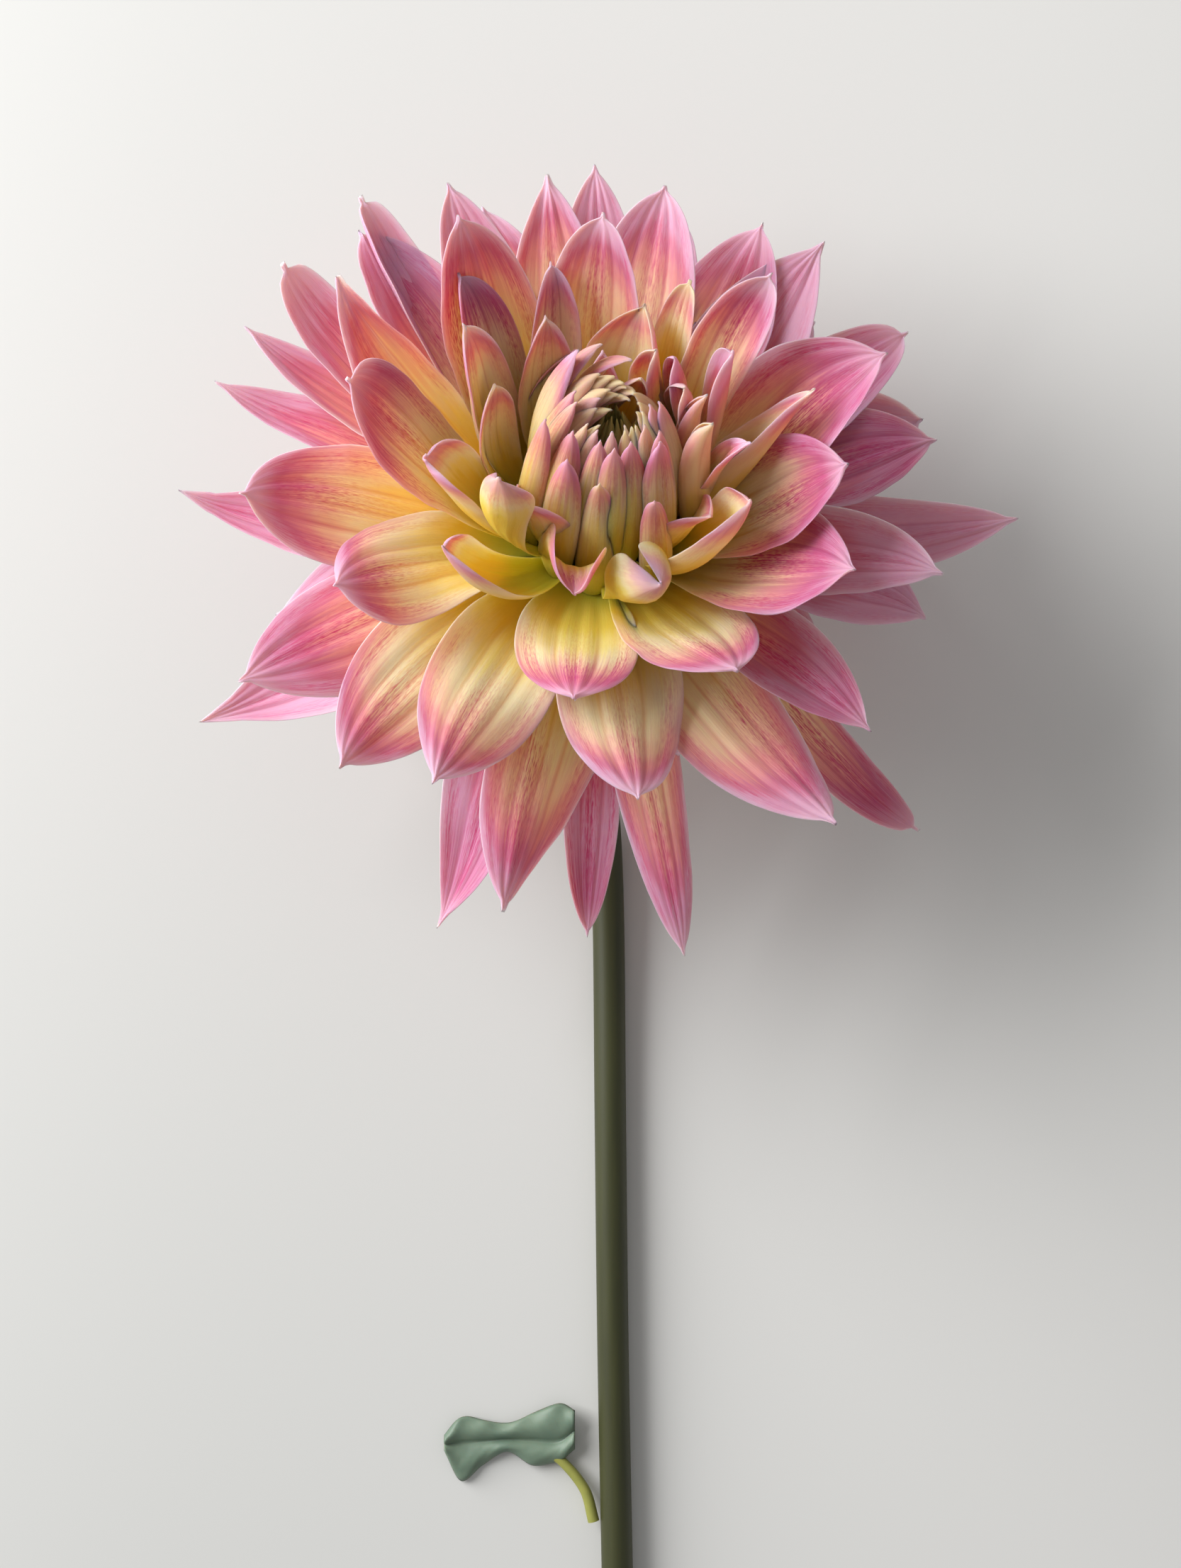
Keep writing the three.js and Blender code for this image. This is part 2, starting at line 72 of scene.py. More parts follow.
# Turned pieces: radius and height pairs along the bloom's axis.
CORE = ((0.01, -9), (8, -9), (12, -7), (13.5, -2), (13.5, 4), (12.5, 9), (9, 13), (0.01, 13.2))
CALYX = ((0.01, -17), (3.3, -17), (5.2, -14.5), (7.3, -11), (8, -9.3), (0.01, -9.3))
EYE_FLOOR = ((0.01, 13.3), (4.3, 13.3), (4.3, 23), (0.01, 23.3))

USUAL_WIDTH = 16  # grooves and veins are sized for a floret this wide

# Ray florets: clock, lean, reach of the tip, width, cup (turn of the cross-section on each side of the midrib), bend,
# twist, hook, roll (cup of the outer half) and sway; then in percent the place of the greatest width and bluntness
# of the point, how far the yellow runs out, blush, where the blush lies across, and how pale the margins are.
# A few florets to the right of the heart, where the heart shades them, have their blush set higher to darken them:
# partly their own crimson, partly painted shade.
MEASURES = ("clock", "lean", "reach", "width", "cup", "bend", "twist", "hook", "roll", "sway")
SHARES = ("widest", "point", "yellow", "blush", "shift", "pale")
OUTER_FLORETS = (
    (1, 62, 71, 16, 25, 14, 1, 0, 20, -1, 50, 80, 25, 35, 0, 40),
    (341, 68, 68, 17, 20, 15, 0, 0, 20, 0, 50, 70, 45, 20, 0, 50),
    (319, 69, 77, 11, 50, 3, 12, 3, 65, 4.5, 50, 35, 10, 20, 0, 80),
    (304, 74, 77, 14, 45, -14, -11, 3, 35, 5.5, 55, 35, 35, 40, 10, 60),
    (300, 80, 76, 14, 40, -2, 7, 2, 25, 0.5, 45, 75, 35, 30, 0, 80),
    (296, 87, 76, 13.5, 40, 6, -7, 4, 30, -2, 45, 75, 25, 50, 0, 40),
    (276, 97, 78, 19, 45, -9, -21, 2, 35, 8.5, 35, 110, 10, 60, 0, 50),
    (252, 115, 80, 21.5, 50, -1, -29, 3, 35, 6, 40, 110, 10, 50, 0, 60),
    (210, 135, 77, 17.5, 40, 9, 17, 3, 30, -0.5, 50, 95, 10, 70, 0, 30),
    (183, 134, 73, 10.5, 40, 12, -3, 0, 40, -1.5, 50, 65, 5, 80, 0, 40),
    (172, 114, 77, 12.5, 35, 17, 7, -2, -30, -4, 40, 65, 35, 55, 0, 40),
    (128, 116, 79, 12.5, 40, -1, 11, 2, -15, -4, 45, 40, 45, 85, 0, 50),
    (95, 108, 68, 20.5, 30, 21, 14, -3, 15, -5.5, 45, 95, 5, 35, 0, 35),
    (94, 86, 76, 18.5, 40, -7, 20, 0, 15, -5.5, 35, 75, 5, 30, 0, 35),
    (67, 85, 67, 21.5, 30, 18, 12, 0, 35, 0.5, 55, 70, 20, 50, 0, 40),
    (61, 76, 69, 18, 30, 13, 22, 2, 35, -3, 50, 50, 15, 60, 0, 40),
    (44, 64, 69, 21.5, 30, 10, 12, 0, 25, -2, 50, 100, 10, 30, 0, 40),
    (44, 78, 62, 15.5, 30, 15, 0, 0, 25, 0, 50, 70, 10, 30, 0, 40),
    (16, 68, 66, 15.5, 30, 15, 0, 0, 25, 0, 50, 70, 10, 30, 0, 30),
)
MIDDLE_FLORETS = (
    (347, 57, 67, 18, 40, 0, -16, 0, 35, 3.5, 50, 85, 50, 45, 0, 30),
    (12, 53, 65, 19.5, 35, 9, -3, 0, 35, 1, 55, 65, 45, 45, 10, 30),
    (33, 63, 66, 22.5, 35, 2, -9, 2, 20, -1, 55, 65, 45, 60, 0, 30),
    (79, 47, 63, 24.5, 40, 6, 18, 0, 40, 3.5, 55, 70, 35, 80, 5, 40),
    (76, 81, 65, 21, 40, 14, 17, 0, 35, -0.5, 55, 80, 20, 80, 0, 50),
    (112, 73, 64, 21, 35, 14, 7, 0, 20, 0.5, 50, 75, 15, 40, 0, 50),
    (134, 88, 63, 16.5, 30, 12, 9, 0, 20, 1.5, 55, 85, 15, 70, 0, 40),
    (158, 93, 70, 21.5, 35, -4, 1, 0, -25, -12, 50, 70, 45, 50, -35, 50),
    (163, 103, 44, 20.5, 30, 10, 0, 0, -20, 0, 50, 65, 55, 50, 0, 40),
    (179, 89, 58, 22.5, 30, 10, -10, 0, -30, -2.5, 50, 60, 70, 50, 0, 50),
    (194, 107, 72, 20, 30, 8, -41, 0, -45, 2.5, 45, 75, 50, 60, 20, 40),
    (212, 90, 62, 22, 40, 13, -20, 0, -25, -2.5, 55, 80, 65, 50, 0, 40),
    (228, 93, 67, 22.5, 15, 22, -28, 3, -10, -4.5, 55, 70, 70, 60, 0, 40),
    (244, 89, 72, 24.5, -15, 9, -14, 2, -15, -3, 55, 80, 30, 60, 10, 40),
    (262, 71, 68, 24.5, 35, 12, -24, 3, -10, -1.5, 55, 55, 65, 65, 15, 50),
    (245, 68, 59, 21.5, 35, 3, -9, 0, -30, -6.5, 65, 60, 75, 60, -10, 40),
    (266, 51, 60, 21, 25, 8, -20, 2, 5, 3.5, 70, 45, 70, 75, 0, 40),
    (288, 47, 70, 24, 0, -12, 4, 3, -10, -1, 45, 90, 55, 45, -20, 30),
    (317, 71, 72, 21.5, 35, 16, 6, 2, 45, 4, 50, 65, 30, 55, 10, 30),
    (331, 59, 70, 17, 40, -4, -13, 0, 30, 2, 50, 70, 40, 45, -10, 30),
    (316, 37, 64, 20, 40, -9, -16, 0, 25, 0.5, 55, 60, 65, 70, -45, 50),
    (354, 31, 59, 17.5, 45, -8, -30, 0, 45, 2, 55, 45, 60, 50, 0, 70),
)
INNER_FLORETS = (
    (306, 39, 55, 14.5, 45, 0, 0, 0, 40, 3, 60, 55, 75, 85, 0, 30),
    (51, 28, 59, 11.5, 60, -1, 32, 0, 55, 5.5, 75, 50, 55, 60, 0, 100),
    (290, 33, 51, 14, 50, -14, -13, 0, 40, 1, 55, 60, 80, 40, -20, 50),
    (333, 34, 51, 10, 55, -3, -6, 0, 50, 3, 55, 50, 70, 40, 0, 80),
    (273, 34, 42, 11, 60, -29, -46, 0, 45, 4.5, 60, 60, 80, 30, 0, 60),
    (321, 28, 44, 11.5, 50, -16, -20, 0, 45, 2, 50, 65, 75, 30, 0, 60),
    (316, 33, 38, 8.5, 50, -35, -37, 0, 45, 9, 55, 70, 70, 20, 0, 70),
    (355, 21, 37, 8.5, 50, -10, 0, 0, 55, 0, 50, 70, 70, 20, 0, 70),
    (17, 30, 44, 17.5, 70, -4, -23, 0, 80, 0, 50, 65, 85, 20, 0, 90),
    (33, 32, 50, 7.5, 50, 0, 1, 0, 60, -0.5, 55, 35, 95, 40, 0, 90),
    (77, 26, 46.5, 9.5, 55, -26, -21, 0, 70, -1.5, 75, 40, 50, 20, 0, 90),
    (94, 40, 51.5, 9, 120, -14, -20, 0, 85, -2.5, 45, 70, 75, 10, 0, 100),
    (97, 34, 45, 9, 75, 5, -15, 0, 45, 10, 55, 70, 60, 30, 0, 60),
    (108, 49, 54, 22.5, 45, -6, 31, 0, 25, 1, 55, 65, 55, 80, 15, 40),
    (124, 60, 56, 23.5, 45, -1, 27, 0, 10, 3, 55, 75, 45, 85, 0, 40),
    (142, 46, 44.5, 15, 75, -34, 33, 0, 80, -7, 55, 60, 95, 30, 0, 50),
    (159, 71, 50, 21.5, 20, 6, 2, 0, -5, -3, 60, 60, 75, 60, 10, 40),
    (193, 78, 46, 21.5, 25, 9, 15, 0, -10, -3, 60, 65, 80, 75, 0, 40),
    (218, 64, 47, 11, 60, -22, -41, 0, 85, 11, 60, 50, 105, 15, 0, 40),
    (249, 48, 46.5, 12.5, 65, -12, -25, 0, 80, 2.5, 60, 30, 105, 15, 0, 40),
    (230, 37, 45, 9, 0, -60, 11, 0, 115, -1, 75, 65, 110, 40, 0, 50),
    (209, 57, 33.5, 11.5, 10, 66, -3, -1, 110, -7.5, 55, 55, 100, 70, 0, 30),
    (169, 55, 39, 11.5, 0, -37, 22, 1, 165, -2, 45, 50, 125, 30, 0, 20),
    (138, 42, 36, 13, 60, 0, 0, 0, 60, 0, 50, 55, 80, 30, 0, 50),
    (225, 40, 36, 13, 60, 0, 0, 0, 60, 0, 50, 55, 80, 30, 0, 50),
)
# Closed florets round the eye, all of a shape: clock, lean, reach, width, bend, roll, sway, yellow, blush and pale.
CLOSED_FLORETS = (
    (239, 20, 41, 6.5, -35, 70, 0, 85, 80, 30),
    (250, 11, 40, 5.5, -50, 70, -1.5, 85, 80, 30),
    (262, 10, 40.5, 6.5, -45, 70, -1, 85, 80, 30),
    (221, 17, 39, 7, -40, 75, 0, 85, 80, 30),
    (213, 24, 38.5, 7.5, -35, 75, 0, 85, 80, 30),
    (196, 16, 38, 6.5, -45, 75, 0, 85, 80, 30),
    (183, 18, 38.5, 6.5, -45, 75, 0, 85, 80, 30),
    (168, 16, 38, 7, -45, 75, 0, 85, 80, 20),
    (148, 19, 39.5, 7.5, -40, 75, 0, 85, 80, 30),
    (145, 16, 38.5, 6.5, -48, 70, -1, 85, 80, 30),
    (155, 12, 37.5, 5, -50, 70, -1.5, 80, 40, 40),
    (118, 11, 38.5, 6.5, -50, 70, -1.5, 70, 15, 50),
    (128, 9, 38, 6, -52, 70, -1.5, 70, 15, 50),
    (140, 8, 36.5, 4, -70, 70, -1.5, 85, 0, 70),
    (218, 12, 37, 5, -52, 70, -2, 70, 15, 60),
    (228, 12, 37.5, 4.5, -52, 70, -1.5, 75, 10, 60),
    (186, 12, 37, 4.5, -52, 70, 0, 70, 20, 60),
    (169, 11, 36.5, 4.5, -55, 70, 0, 80, 0, 80),
    (165, 10, 36, 4, -70, 70, -1, 85, 0, 80),
    (158, 10, 36, 3.5, -70, 70, -1, 85, 0, 70),
    (235, 9, 36.5, 3.5, -70, 70, -3.5, 80, 0, 70),
    (252, 6, 37, 5, -80, 100, -2, 75, 10, 60),
    (262, 4, 37.5, 5.5, -80, 100, -1, 70, 20, 60),
    (266, 1, 36, 4, -90, 100, -2.5, 80, 0, 80),
    (272, 1, 37.5, 5.5, -85, 100, 0.5, 80, 10, 80),
    (276, 4, 38.5, 6, -80, 100, 3, 80, 10, 80),
    (286, 1, 38, 5, -85, 100, 3, 80, 5, 90),
    (285, -1, 36.5, 4, -90, 100, 0.5, 80, 0, 80),
)
HEART_FLORETS = tuple((clock, lean, reach, width, 60, bend, 0, 0, roll, sway, 50, 60, yellow, blush, 0, pale)
                      for clock, lean, reach, width, bend, roll, sway, yellow, blush, pale in CLOSED_FLORETS) + (
    (268, 8, 41.5, 9, 50, -60, 0, 0, 60, 6.5, 50, 60, 70, 30, 0, 40),
    (288, 6, 41, 7.5, 50, -75, 0, 0, 70, 7, 50, 60, 75, 25, 0, 80),
    (318, 3, 39.5, 7, 50, -85, 0, 0, 60, 6, 50, 60, 75, 50, 0, 60),
    (34, 18, 41, 7, 60, -25, -41, 0, 100, 1.5, 60, 45, 75, 50, 0, 80),
    (58, 17, 41.5, 8, 60, -44, -31, 0, 85, 0, 60, 50, 70, 70, 0, 60),
    (10, 6, 38, 6.5, 60, -45, 0, 0, 80, 4, 60, 50, 75, 20, 0, 90),
    (58, 17, 41, 8, 60, -45, -20, 0, 95, 6, 60, 50, 75, 25, 0, 70),
    (325, 0, 37, 5, 60, -85, 0, 0, 100, 2.5, 50, 60, 80, 5, 0, 60),
    (345, -1, 36.5, 5, 60, -85, 0, 0, 100, 3.5, 50, 60, 80, 5, 0, 70),
    (90, 22, 41.5, 5, 120, -6, 0, 0, 150, 1, 50, 60, 75, 25, 0, 60),
    (116, 25, 41.5, 5.5, 120, -21, 0, 0, 150, -1, 60, 45, 80, 10, 0, 90),
    (325, -3, 36, 3.5, 60, -85, 0, 0, 100, 2, 50, 60, 90, 0, 0, 50),
    (162, 8, 35, 3, 60, -65, 0, 0, 70, 0, 50, 60, 95, 0, 0, 40),
    (312, 0, 37.5, 5, 60, -85, 0, 0, 100, 2.5, 50, 60, 80, 5, 0, 80),
    (65, 4, 37.5, 5, 60, -60, 0, 0, 80, 1.5, 60, 50, 80, 5, 0, 70),
    (189, 27, 36.5, 7, 60, -19, -9, 0, 70, 0.5, 45, 65, 85, 60, 0, 100),
    (153, 33, 36.5, 6, 60, -28, -19, 0, 70, 3, 50, 45, 80, 90, 0, 40),
    (98, 6, 37, 5, 60, -62, 0, 0, 75, 1, 60, 50, 80, 10, 0, 70),
    (115, 7, 36.5, 4.5, 60, -65, 0, 0, 75, 1.5, 60, 50, 85, 0, 0, 60),
)
# The hidden florets at the back: clock, lean and reach. They share a shape, but for the two pressed on the floor.
BACK_PLACES = ((12, 101, 69), (36, 114, 69), (60, 112, 67), (84, 112, 65), (108, 114, 50), (132, 120, 42),
               (228, 118, 50), (252, 116, 62), (276, 116, 66), (300, 118, 68), (324, 121, 69), (348, 103, 69))
BACK_SHAPE = (17, 30, 12, 0, 0, 30, 0, 50, 80, 20, 35, 0, 40)
PRESSED_SHAPE = (14, 5, -42, 0, 0, -5, 0, 50, 80, 20, 35, 0, 40)
PRESSED_CLOCKS = (36, 324)
BACK_FLORETS = tuple(place + (PRESSED_SHAPE if place[0] in PRESSED_CLOCKS else BACK_SHAPE) for place in BACK_PLACES)

# Lines that the stem and the stalk follow, and the leaf: x, then y of its far edge, vein and near edge, and height.
STEM_LINE = ((-2.1, -20, 20.5), (-1, -33, 10), (1, -49, 4.6), (2, -70, 2.9), (2.4, -110, 2.9), (3, -160, 2.9),
             (4.3, -225, 2.9))
STALK_LINE = ((-0.9, -190, 2.7), (-2.6, -184, 2.3), (-6.6, -179, 1.6), (-10, -176.6, 1.3))
LEAF_BLADE = ((-4.6, -168, -172, -176, 2.2), (-8, -166.8, -174.5, -178.6, 1.6), (-13, -168.9, -174.3, -179.4, 1.2),
              (-18.3, -170.9, -174.2, -176.8, 1), (-23, -170.2, -174.6, -179.6, 0.8),
              (-27.4, -169.8, -174.9, -182.6, 0.8), (-30.6, -173.2, -175.2, -176.4, 1.4))


# ---- directions in the bloom ----
def bloom_matrix():
    """The bloom's own axes, with +Z its axis and +Y its clock 0, as they stand in the frame."""
    side, tilt = math.radians(BLOOM_SIDE), math.radians(BLOOM_TILT)
    axis = Vector((math.sin(side), math.cos(side) * math.sin(tilt), math.cos(side) * math.cos(tilt)))
    twelve = (Vector((0, 1, 0)) - axis * axis.y).normalized()
    three = twelve.cross(axis)
    turn = Matrix((three, twelve, axis)).transposed().to_4x4()
    return Matrix.Translation(ORIGIN + Vector((0, 0, HEART_HEIGHT * MM))) @ turn @ Matrix.Scale(MM, 4)


BLOOM = bloom_matrix()


# ---- sums written as nodes ----
class Sum:
    """A number in a node tree that is reckoned with like any other number."""

    def __init__(self, socket):
        self.socket, self.tree = socket, socket.id_data

    def __neg__(self):
        return self * -1

    def __abs__(self):
        return reckon("ABSOLUTE", self)


def plug(value, socket):
    """Sets a socket to a plain value, or links it to a sum or to another socket."""
    if isinstance(value, Sum):
        value = value.socket
    if isinstance(value, bpy.types.NodeSocket):
        socket.id_data.links.new(value, socket)
    else:
        socket.default_value = value


def made_from(kind, *values):
    """A node with these values in its first sockets, in the tree of the first sum among them."""
    made = next(value.tree for value in values if isinstance(value, Sum)).nodes.new(kind)
    for value, socket in zip(values, made.inputs):
        plug(value, socket)
    return made


def reckon(operation, *values):
    made = made_from("ShaderNodeMath", *values)
    made.operation = operation
    return Sum(made.outputs[0])


def on_both_sides(operation):
    """The methods that a sum needs to stand before and after an operator."""
    return (lambda this, other: reckon(operation, this, other)), (lambda this, other: reckon(operation, other, this))


Sum.__add__, Sum.__radd__ = on_both_sides("ADD")
Sum.__sub__, Sum.__rsub__ = on_both_sides("SUBTRACT")
Sum.__mul__, Sum.__rmul__ = on_both_sides("MULTIPLY")
Sum.__truediv__, Sum.__rtruediv__ = on_both_sides("DIVIDE")
Sum.__pow__, Sum.__rpow__ = on_both_sides("POWER")


def function(operation):
    """A function of sums and numbers."""
    return lambda *values: reckon(operation, *values)


sin, cos, arc_tangent = function("SINE"), function("COSINE"), function("ARCTAN2")
root, exponent, sign = function("SQRT"), function("EXPONENT"), function("SIGN")
least, most, beyond = function("MINIMUM"), function("MAXIMUM"), function("GREATER_THAN")


def radians(x):
    return x * (math.pi / 180)


def hump(x, middle, spread):
    """One at the middle, falling smoothly to nothing on both sides."""
    return exponent(-(((x - middle) / spread) ** 2))


def rise(x, start, end):
    """Nothing before the start, one after the end, and a smooth change between."""
    made = made_from("ShaderNodeMapRange", x, start, end)
    made.interpolation_type = "SMOOTHSTEP"
    return Sum(made.outputs[0])


def combine(x, y, z):
    return made_from("ShaderNodeCombineXYZ", x, y, z).outputs[0]


def separate(vector):
    made = vector.id_data.nodes.new("ShaderNodeSeparateXYZ")
    plug(vector, made.inputs[0])
    return [Sum(socket) for socket in made.outputs]


def noise(x, y, z, detail=1.0):
    """Smooth noise round nothing, about half a unit up and down."""
    made = x.tree.nodes.new("ShaderNodeTexNoise")
    for name, value in (("Vector", combine(x, y, z)), ("Scale", 1), ("Detail", detail)):
        plug(value, made.inputs[name])
    return Sum(made.outputs["Fac"]) - 0.5


# ---- geometry trees ----
def new_tree(name, **inputs):
    """A geometry tree with these inputs, and what comes in through them by name."""
    tree = bpy.data.node_groups.new(name, "GeometryNodeTree")
    tree.is_modifier = True
    for way in ("INPUT", "OUTPUT"):
        tree.interface.new_socket("Geometry", in_out=way, socket_type="NodeSocketGeometry")
    for label, default in inputs.items():
        kind = {int: "Int", float: "Float", type(None): "Material"}[type(default)]
        socket = tree.interface.new_socket(label.replace("_", " "), in_out="INPUT", socket_type=f"NodeSocket{kind}")
        if default is not None:
            socket.default_value = default
    return tree, {socket.name: Sum(socket) for socket in tree.nodes.new("NodeGroupInput").outputs}


def node(tree, kind, *values, **settings):
    """A node's first output. Values fill its sockets in order; settings are its properties or, in capitals, sockets."""
    made = tree.nodes.new(kind)
    for key, value in settings.items():
        if key[0].isupper():
            plug(value, made.inputs[key.replace("_", " ")])
        else:
            setattr(made, key, value)
    for value, socket in zip(values, made.inputs):
        plug(value, socket)
    return made.outputs[0]


def position(tree):
    return separate(node(tree, "GeometryNodeInputPosition"))


def named(tree, name, kind="FLOAT"):
    """An attribute that the points carry, as a socket."""
    return node(tree, "GeometryNodeInputNamedAttribute", data_type=kind, Name=name)


def finish_tree(tree, geometry, given):
    """Ends a tree: everything real, smooth and in its material."""
    real = node(tree, "GeometryNodeRealizeInstances", geometry)
    smooth = node(tree, "GeometryNodeSetShadeSmooth", real)
    surfaced = node(tree, "GeometryNodeSetMaterial", smooth, Material=given["Material"])
    plug(surfaced, tree.nodes.new("NodeGroupOutput").inputs[0])
    return tree


def grow(name, tree, mesh=None, **values):
    """Runs a tree on a mesh, or on nothing, and keeps what comes out as the plain mesh of an object of this name."""
    obj = bpy.data.objects.new(name, mesh or bpy.data.meshes.new(name + "_seat"))
    bpy.context.collection.objects.link(obj)
    modifier = obj.modifiers.new("growth", "NODES")
    modifier.node_group = tree
    for item in tree.interface.items_tree:
        key = item.name.replace(" ", "_")
        if item.item_type == "SOCKET" and item.in_out == "INPUT" and key in values:
            modifier[item.identifier] = values[key]
    depsgraph = bpy.context.evaluated_depsgraph_get()
    made = bpy.data.meshes.new_from_object(obj.evaluated_get(depsgraph), preserve_all_data_layers=True,
                                           depsgraph=depsgraph)
    if not made.polygons:
        raise RuntimeError(f"{name} came out empty")
    obj.modifiers.clear()
    obj.data = made
    made.name = name
    return obj


def plain(name, mesh, material):
    mesh.materials.append(material)
    obj = bpy.data.objects.new(name, mesh)
    bpy.context.collection.objects.link(obj)
    return obj


def settle(obj, node_name):
    """The finished piece stands in for a CAD node, which is hidden, and stays with the one body."""
    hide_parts(node_name)
    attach(obj, "root")


# ---- the ray florets ----
BLADE_RISE = 0.1  # how far the flat blade's face and back stand off its middle


def closed_sheet(tree, cells_across, cells_along, place, merge):
    """A face and a back joined at their rims. place turns how far a point lies across (-1 to 1) and along (-0.5 to
    0.5), and its side (1 on the face, -1 on the back, 0 on the rim), into its position."""
    sheets = []
    for face in (1, -1):
        grid = node(tree, "GeometryNodeMeshGrid", Size_X=2.0, Size_Y=1.0, Vertices_X=cells_across,
                    Vertices_Y=cells_along)
        x, y, _ = position(tree)
        side = (1 - beyond(abs(x), 0.9999)) * (1 - beyond(abs(y), 0.4999)) * face
        moved = node(tree, "GeometryNodeSetPosition", grid, Position=combine(*place(x, y, side)))
        sheets.append(moved if face == 1 else node(tree, "GeometryNodeFlipFaces", moved))
    join = tree.nodes.new("GeometryNodeJoinGeometry")
    for sheet in sheets:
        plug(sheet, join.inputs[0])
    return node(tree, "GeometryNodeMergeByDistance", join.outputs[0], Distance=merge)


def blade(tree, given):
    """A closed flat floret: x runs across from -1 to 1, y from root to tip, and z tells the face from the back."""
    def place(x, y, side):
        return sign(x) * (1 - most(1 - abs(x), 0) ** 1.4), 1 - (0.5 - y) ** 1.3, side * BLADE_RISE

    closed = closed_sheet(tree, given["Cells Across"], given["Cells Along"], place, 0.0001)
    return node(tree, "GeometryNodeStoreNamedAttribute", closed, data_type="FLOAT_VECTOR", domain="POINT",
                Name="place", Value=node(tree, "GeometryNodeInputPosition"))


def outline(along, widest, point):
    """Half the width of a floret as a share of its widest, with the little sharp point at the end."""
    claw = 0.45  # width at the root
    body_end = 0.978  # the little point begins here
    body = least(along / body_end, 0.9999)
    lower = claw + (1 - claw) * sin(least(body / widest, 1) * (math.pi / 2)) ** 1.3
    left = most((1 - body) / (1 - widest), 0.0001)
    upper = (1 - most(1 - left, 0.0001) ** 2.1) ** point
    nib = (1 - along) * 2.2 + 0.012
    return most(least(lower, upper), nib * beyond(along, 0.9))


def vein_wander(t, seed):
    """How far the grooves and the veins that follow them stray across a floret on their way to the tip."""
    return noise(seed * 7, t * 2.2, seed * 13) * 0.14


def floret_tree():
    """Every floret from one rule: a blade bent along its own line and cupped across it."""
    tree, given = new_tree("Ray florets", Cells_Across=31, Cells_Along=41, Root_Radius=13.0, Base_Lean=34.0,
                           By_Lean=0.4, By_Reach=0.3, Upright=6.0, Thickness=0.5, Groove=0.3, Waviness=0.8,
                           Material=None)
    florets = node(tree, "GeometryNodeInstanceOnPoints", given["Geometry"], Instance=blade(tree, given))
    real = node(tree, "GeometryNodeRealizeInstances", florets)
    v, t, z = separate(named(tree, "place", "FLOAT_VECTOR"))
    clock, lean, reach, width, cup, bend, twist, hook, roll, sway, widest, point, seed = (
        Sum(named(tree, name)) for name in MEASURES + SHARES[:2] + ("seed",))
    s = 1 - t

    # the middle line, in the plane through the bloom's axis: first outward, then along the axis
    root_lean = radians(given["Base Lean"] + given["By Lean"] * lean + given["By Reach"] * reach)
    lean, clock = radians(lean), radians(clock)
    leave, arrive = root_lean - radians(given["Upright"]), lean + radians(bend)
    start = given["Root Radius"] * sin(root_lean), given["Root Radius"] * cos(root_lean)
    end = reach * sin(lean), reach * cos(lean)
    arm = 0.35 * root((end[0] - start[0]) ** 2 + (end[1] - start[1]) ** 2)
    first = start[0] + arm * sin(leave), start[1] + arm * cos(leave)
    second = end[0] - arm * sin(arrive), end[1] - arm * cos(arrive)
    line = [s * s * s * a + 3 * s * s * t * b + 3 * s * t * t * c + t * t * t * d
            for a, b, c, d in zip(start, first, second, end)]
    slope = [s * s * (b - a) + 2 * s * t * (c - b) + t * t * (d - c)
             for a, b, c, d in zip(start, first, second, end)]
    pace = root(slope[0] ** 2 + slope[1] ** 2)
    outward, upward = slope[0] / pace, slope[1] / pace

    # the way across and the way the face looks, turned about the line by the twist
    turn = radians(twist) * t
    side = cos(turn), upward * sin(turn), -outward * sin(turn)
    face = sin(turn), -upward * cos(turn), outward * cos(turn)

    # the cross-section: an arc, cupped one way at the root and the floret's own way further out
    cup = radians(cup + (roll - cup) * rise(t, 0.3, 0.8))
    way = sign(cup + 0.0001)
    arc = most(abs(cup), 0.03)
    bow = width / 2 * outline(t, widest, point) / sin(least(arc, math.pi / 2))
    out, up = bow * sin(arc * v), way * bow * (1 - cos(arc * v))

    # grooves, a soft waviness and the thickness, along the face's normal
    scale = width / USUAL_WIDTH
    wander = vein_wander(t, seed)
    grooves = hump(abs(v + wander), 0.36, 0.09) + 0.45 * hump(abs(v - wander), 0.7, 0.09) + 0.5 * hump(
        v + wander, 0, 0.07) - 0.7 * hump(abs(v + wander), 0.18, 0.12)
    fade = rise(t, 0.05, 0.35) * (1 - rise(t, 0.88, 1))
    soft = noise(v * 0.9 + seed * 31, t * 2.4, seed * 17) * given["Waviness"] * 2
    margin = noise(v * 0.4 + seed * 5, t * 6, seed * 11) * given["Waviness"] * v * v * 1.6
    half = z * (0.5 / BLADE_RISE) * given["Thickness"] * (1 - abs(v) ** 5 * 0.7)
    lift = (soft + margin) * rise(t, 0.15, 0.6) * scale - given["Groove"] * scale * grooves * fade + half
    curl = hook * most((t - 0.75) / 0.25, 0) ** 2
    out = out + lift * (-way * sin(arc * v)) + sway * t * t
    up = up + lift * cos(arc * v) + curl

    x, y, height = (middle + out * across + up * ahead for middle, across, ahead in zip([0] + line, side, face))
    bent = node(tree, "GeometryNodeSetPosition", real, Position=combine(
        x * cos(clock) + y * sin(clock), y * cos(clock) - x * sin(clock), height))
    return finish_tree(tree, bent, given)


def floret_points(name, rows, rng):
    """One point for each floret, with its row of the table as attributes."""
    mesh = bpy.data.meshes.new(name + "_rows")
    mesh.from_pydata([(0, 0, 0)] * len(rows), [], [])
    columns = dict(zip(MEASURES + SHARES, zip(*rows)))
    columns.update({key: [value / 100 for value in columns[key]] for key in SHARES})
    columns["seed"] = [rng.random() for _ in rows]
    for key, values in columns.items():
        mesh.attributes.new(key, "FLOAT", "POINT").data.foreach_set("value", [float(value) for value in values])
    return mesh


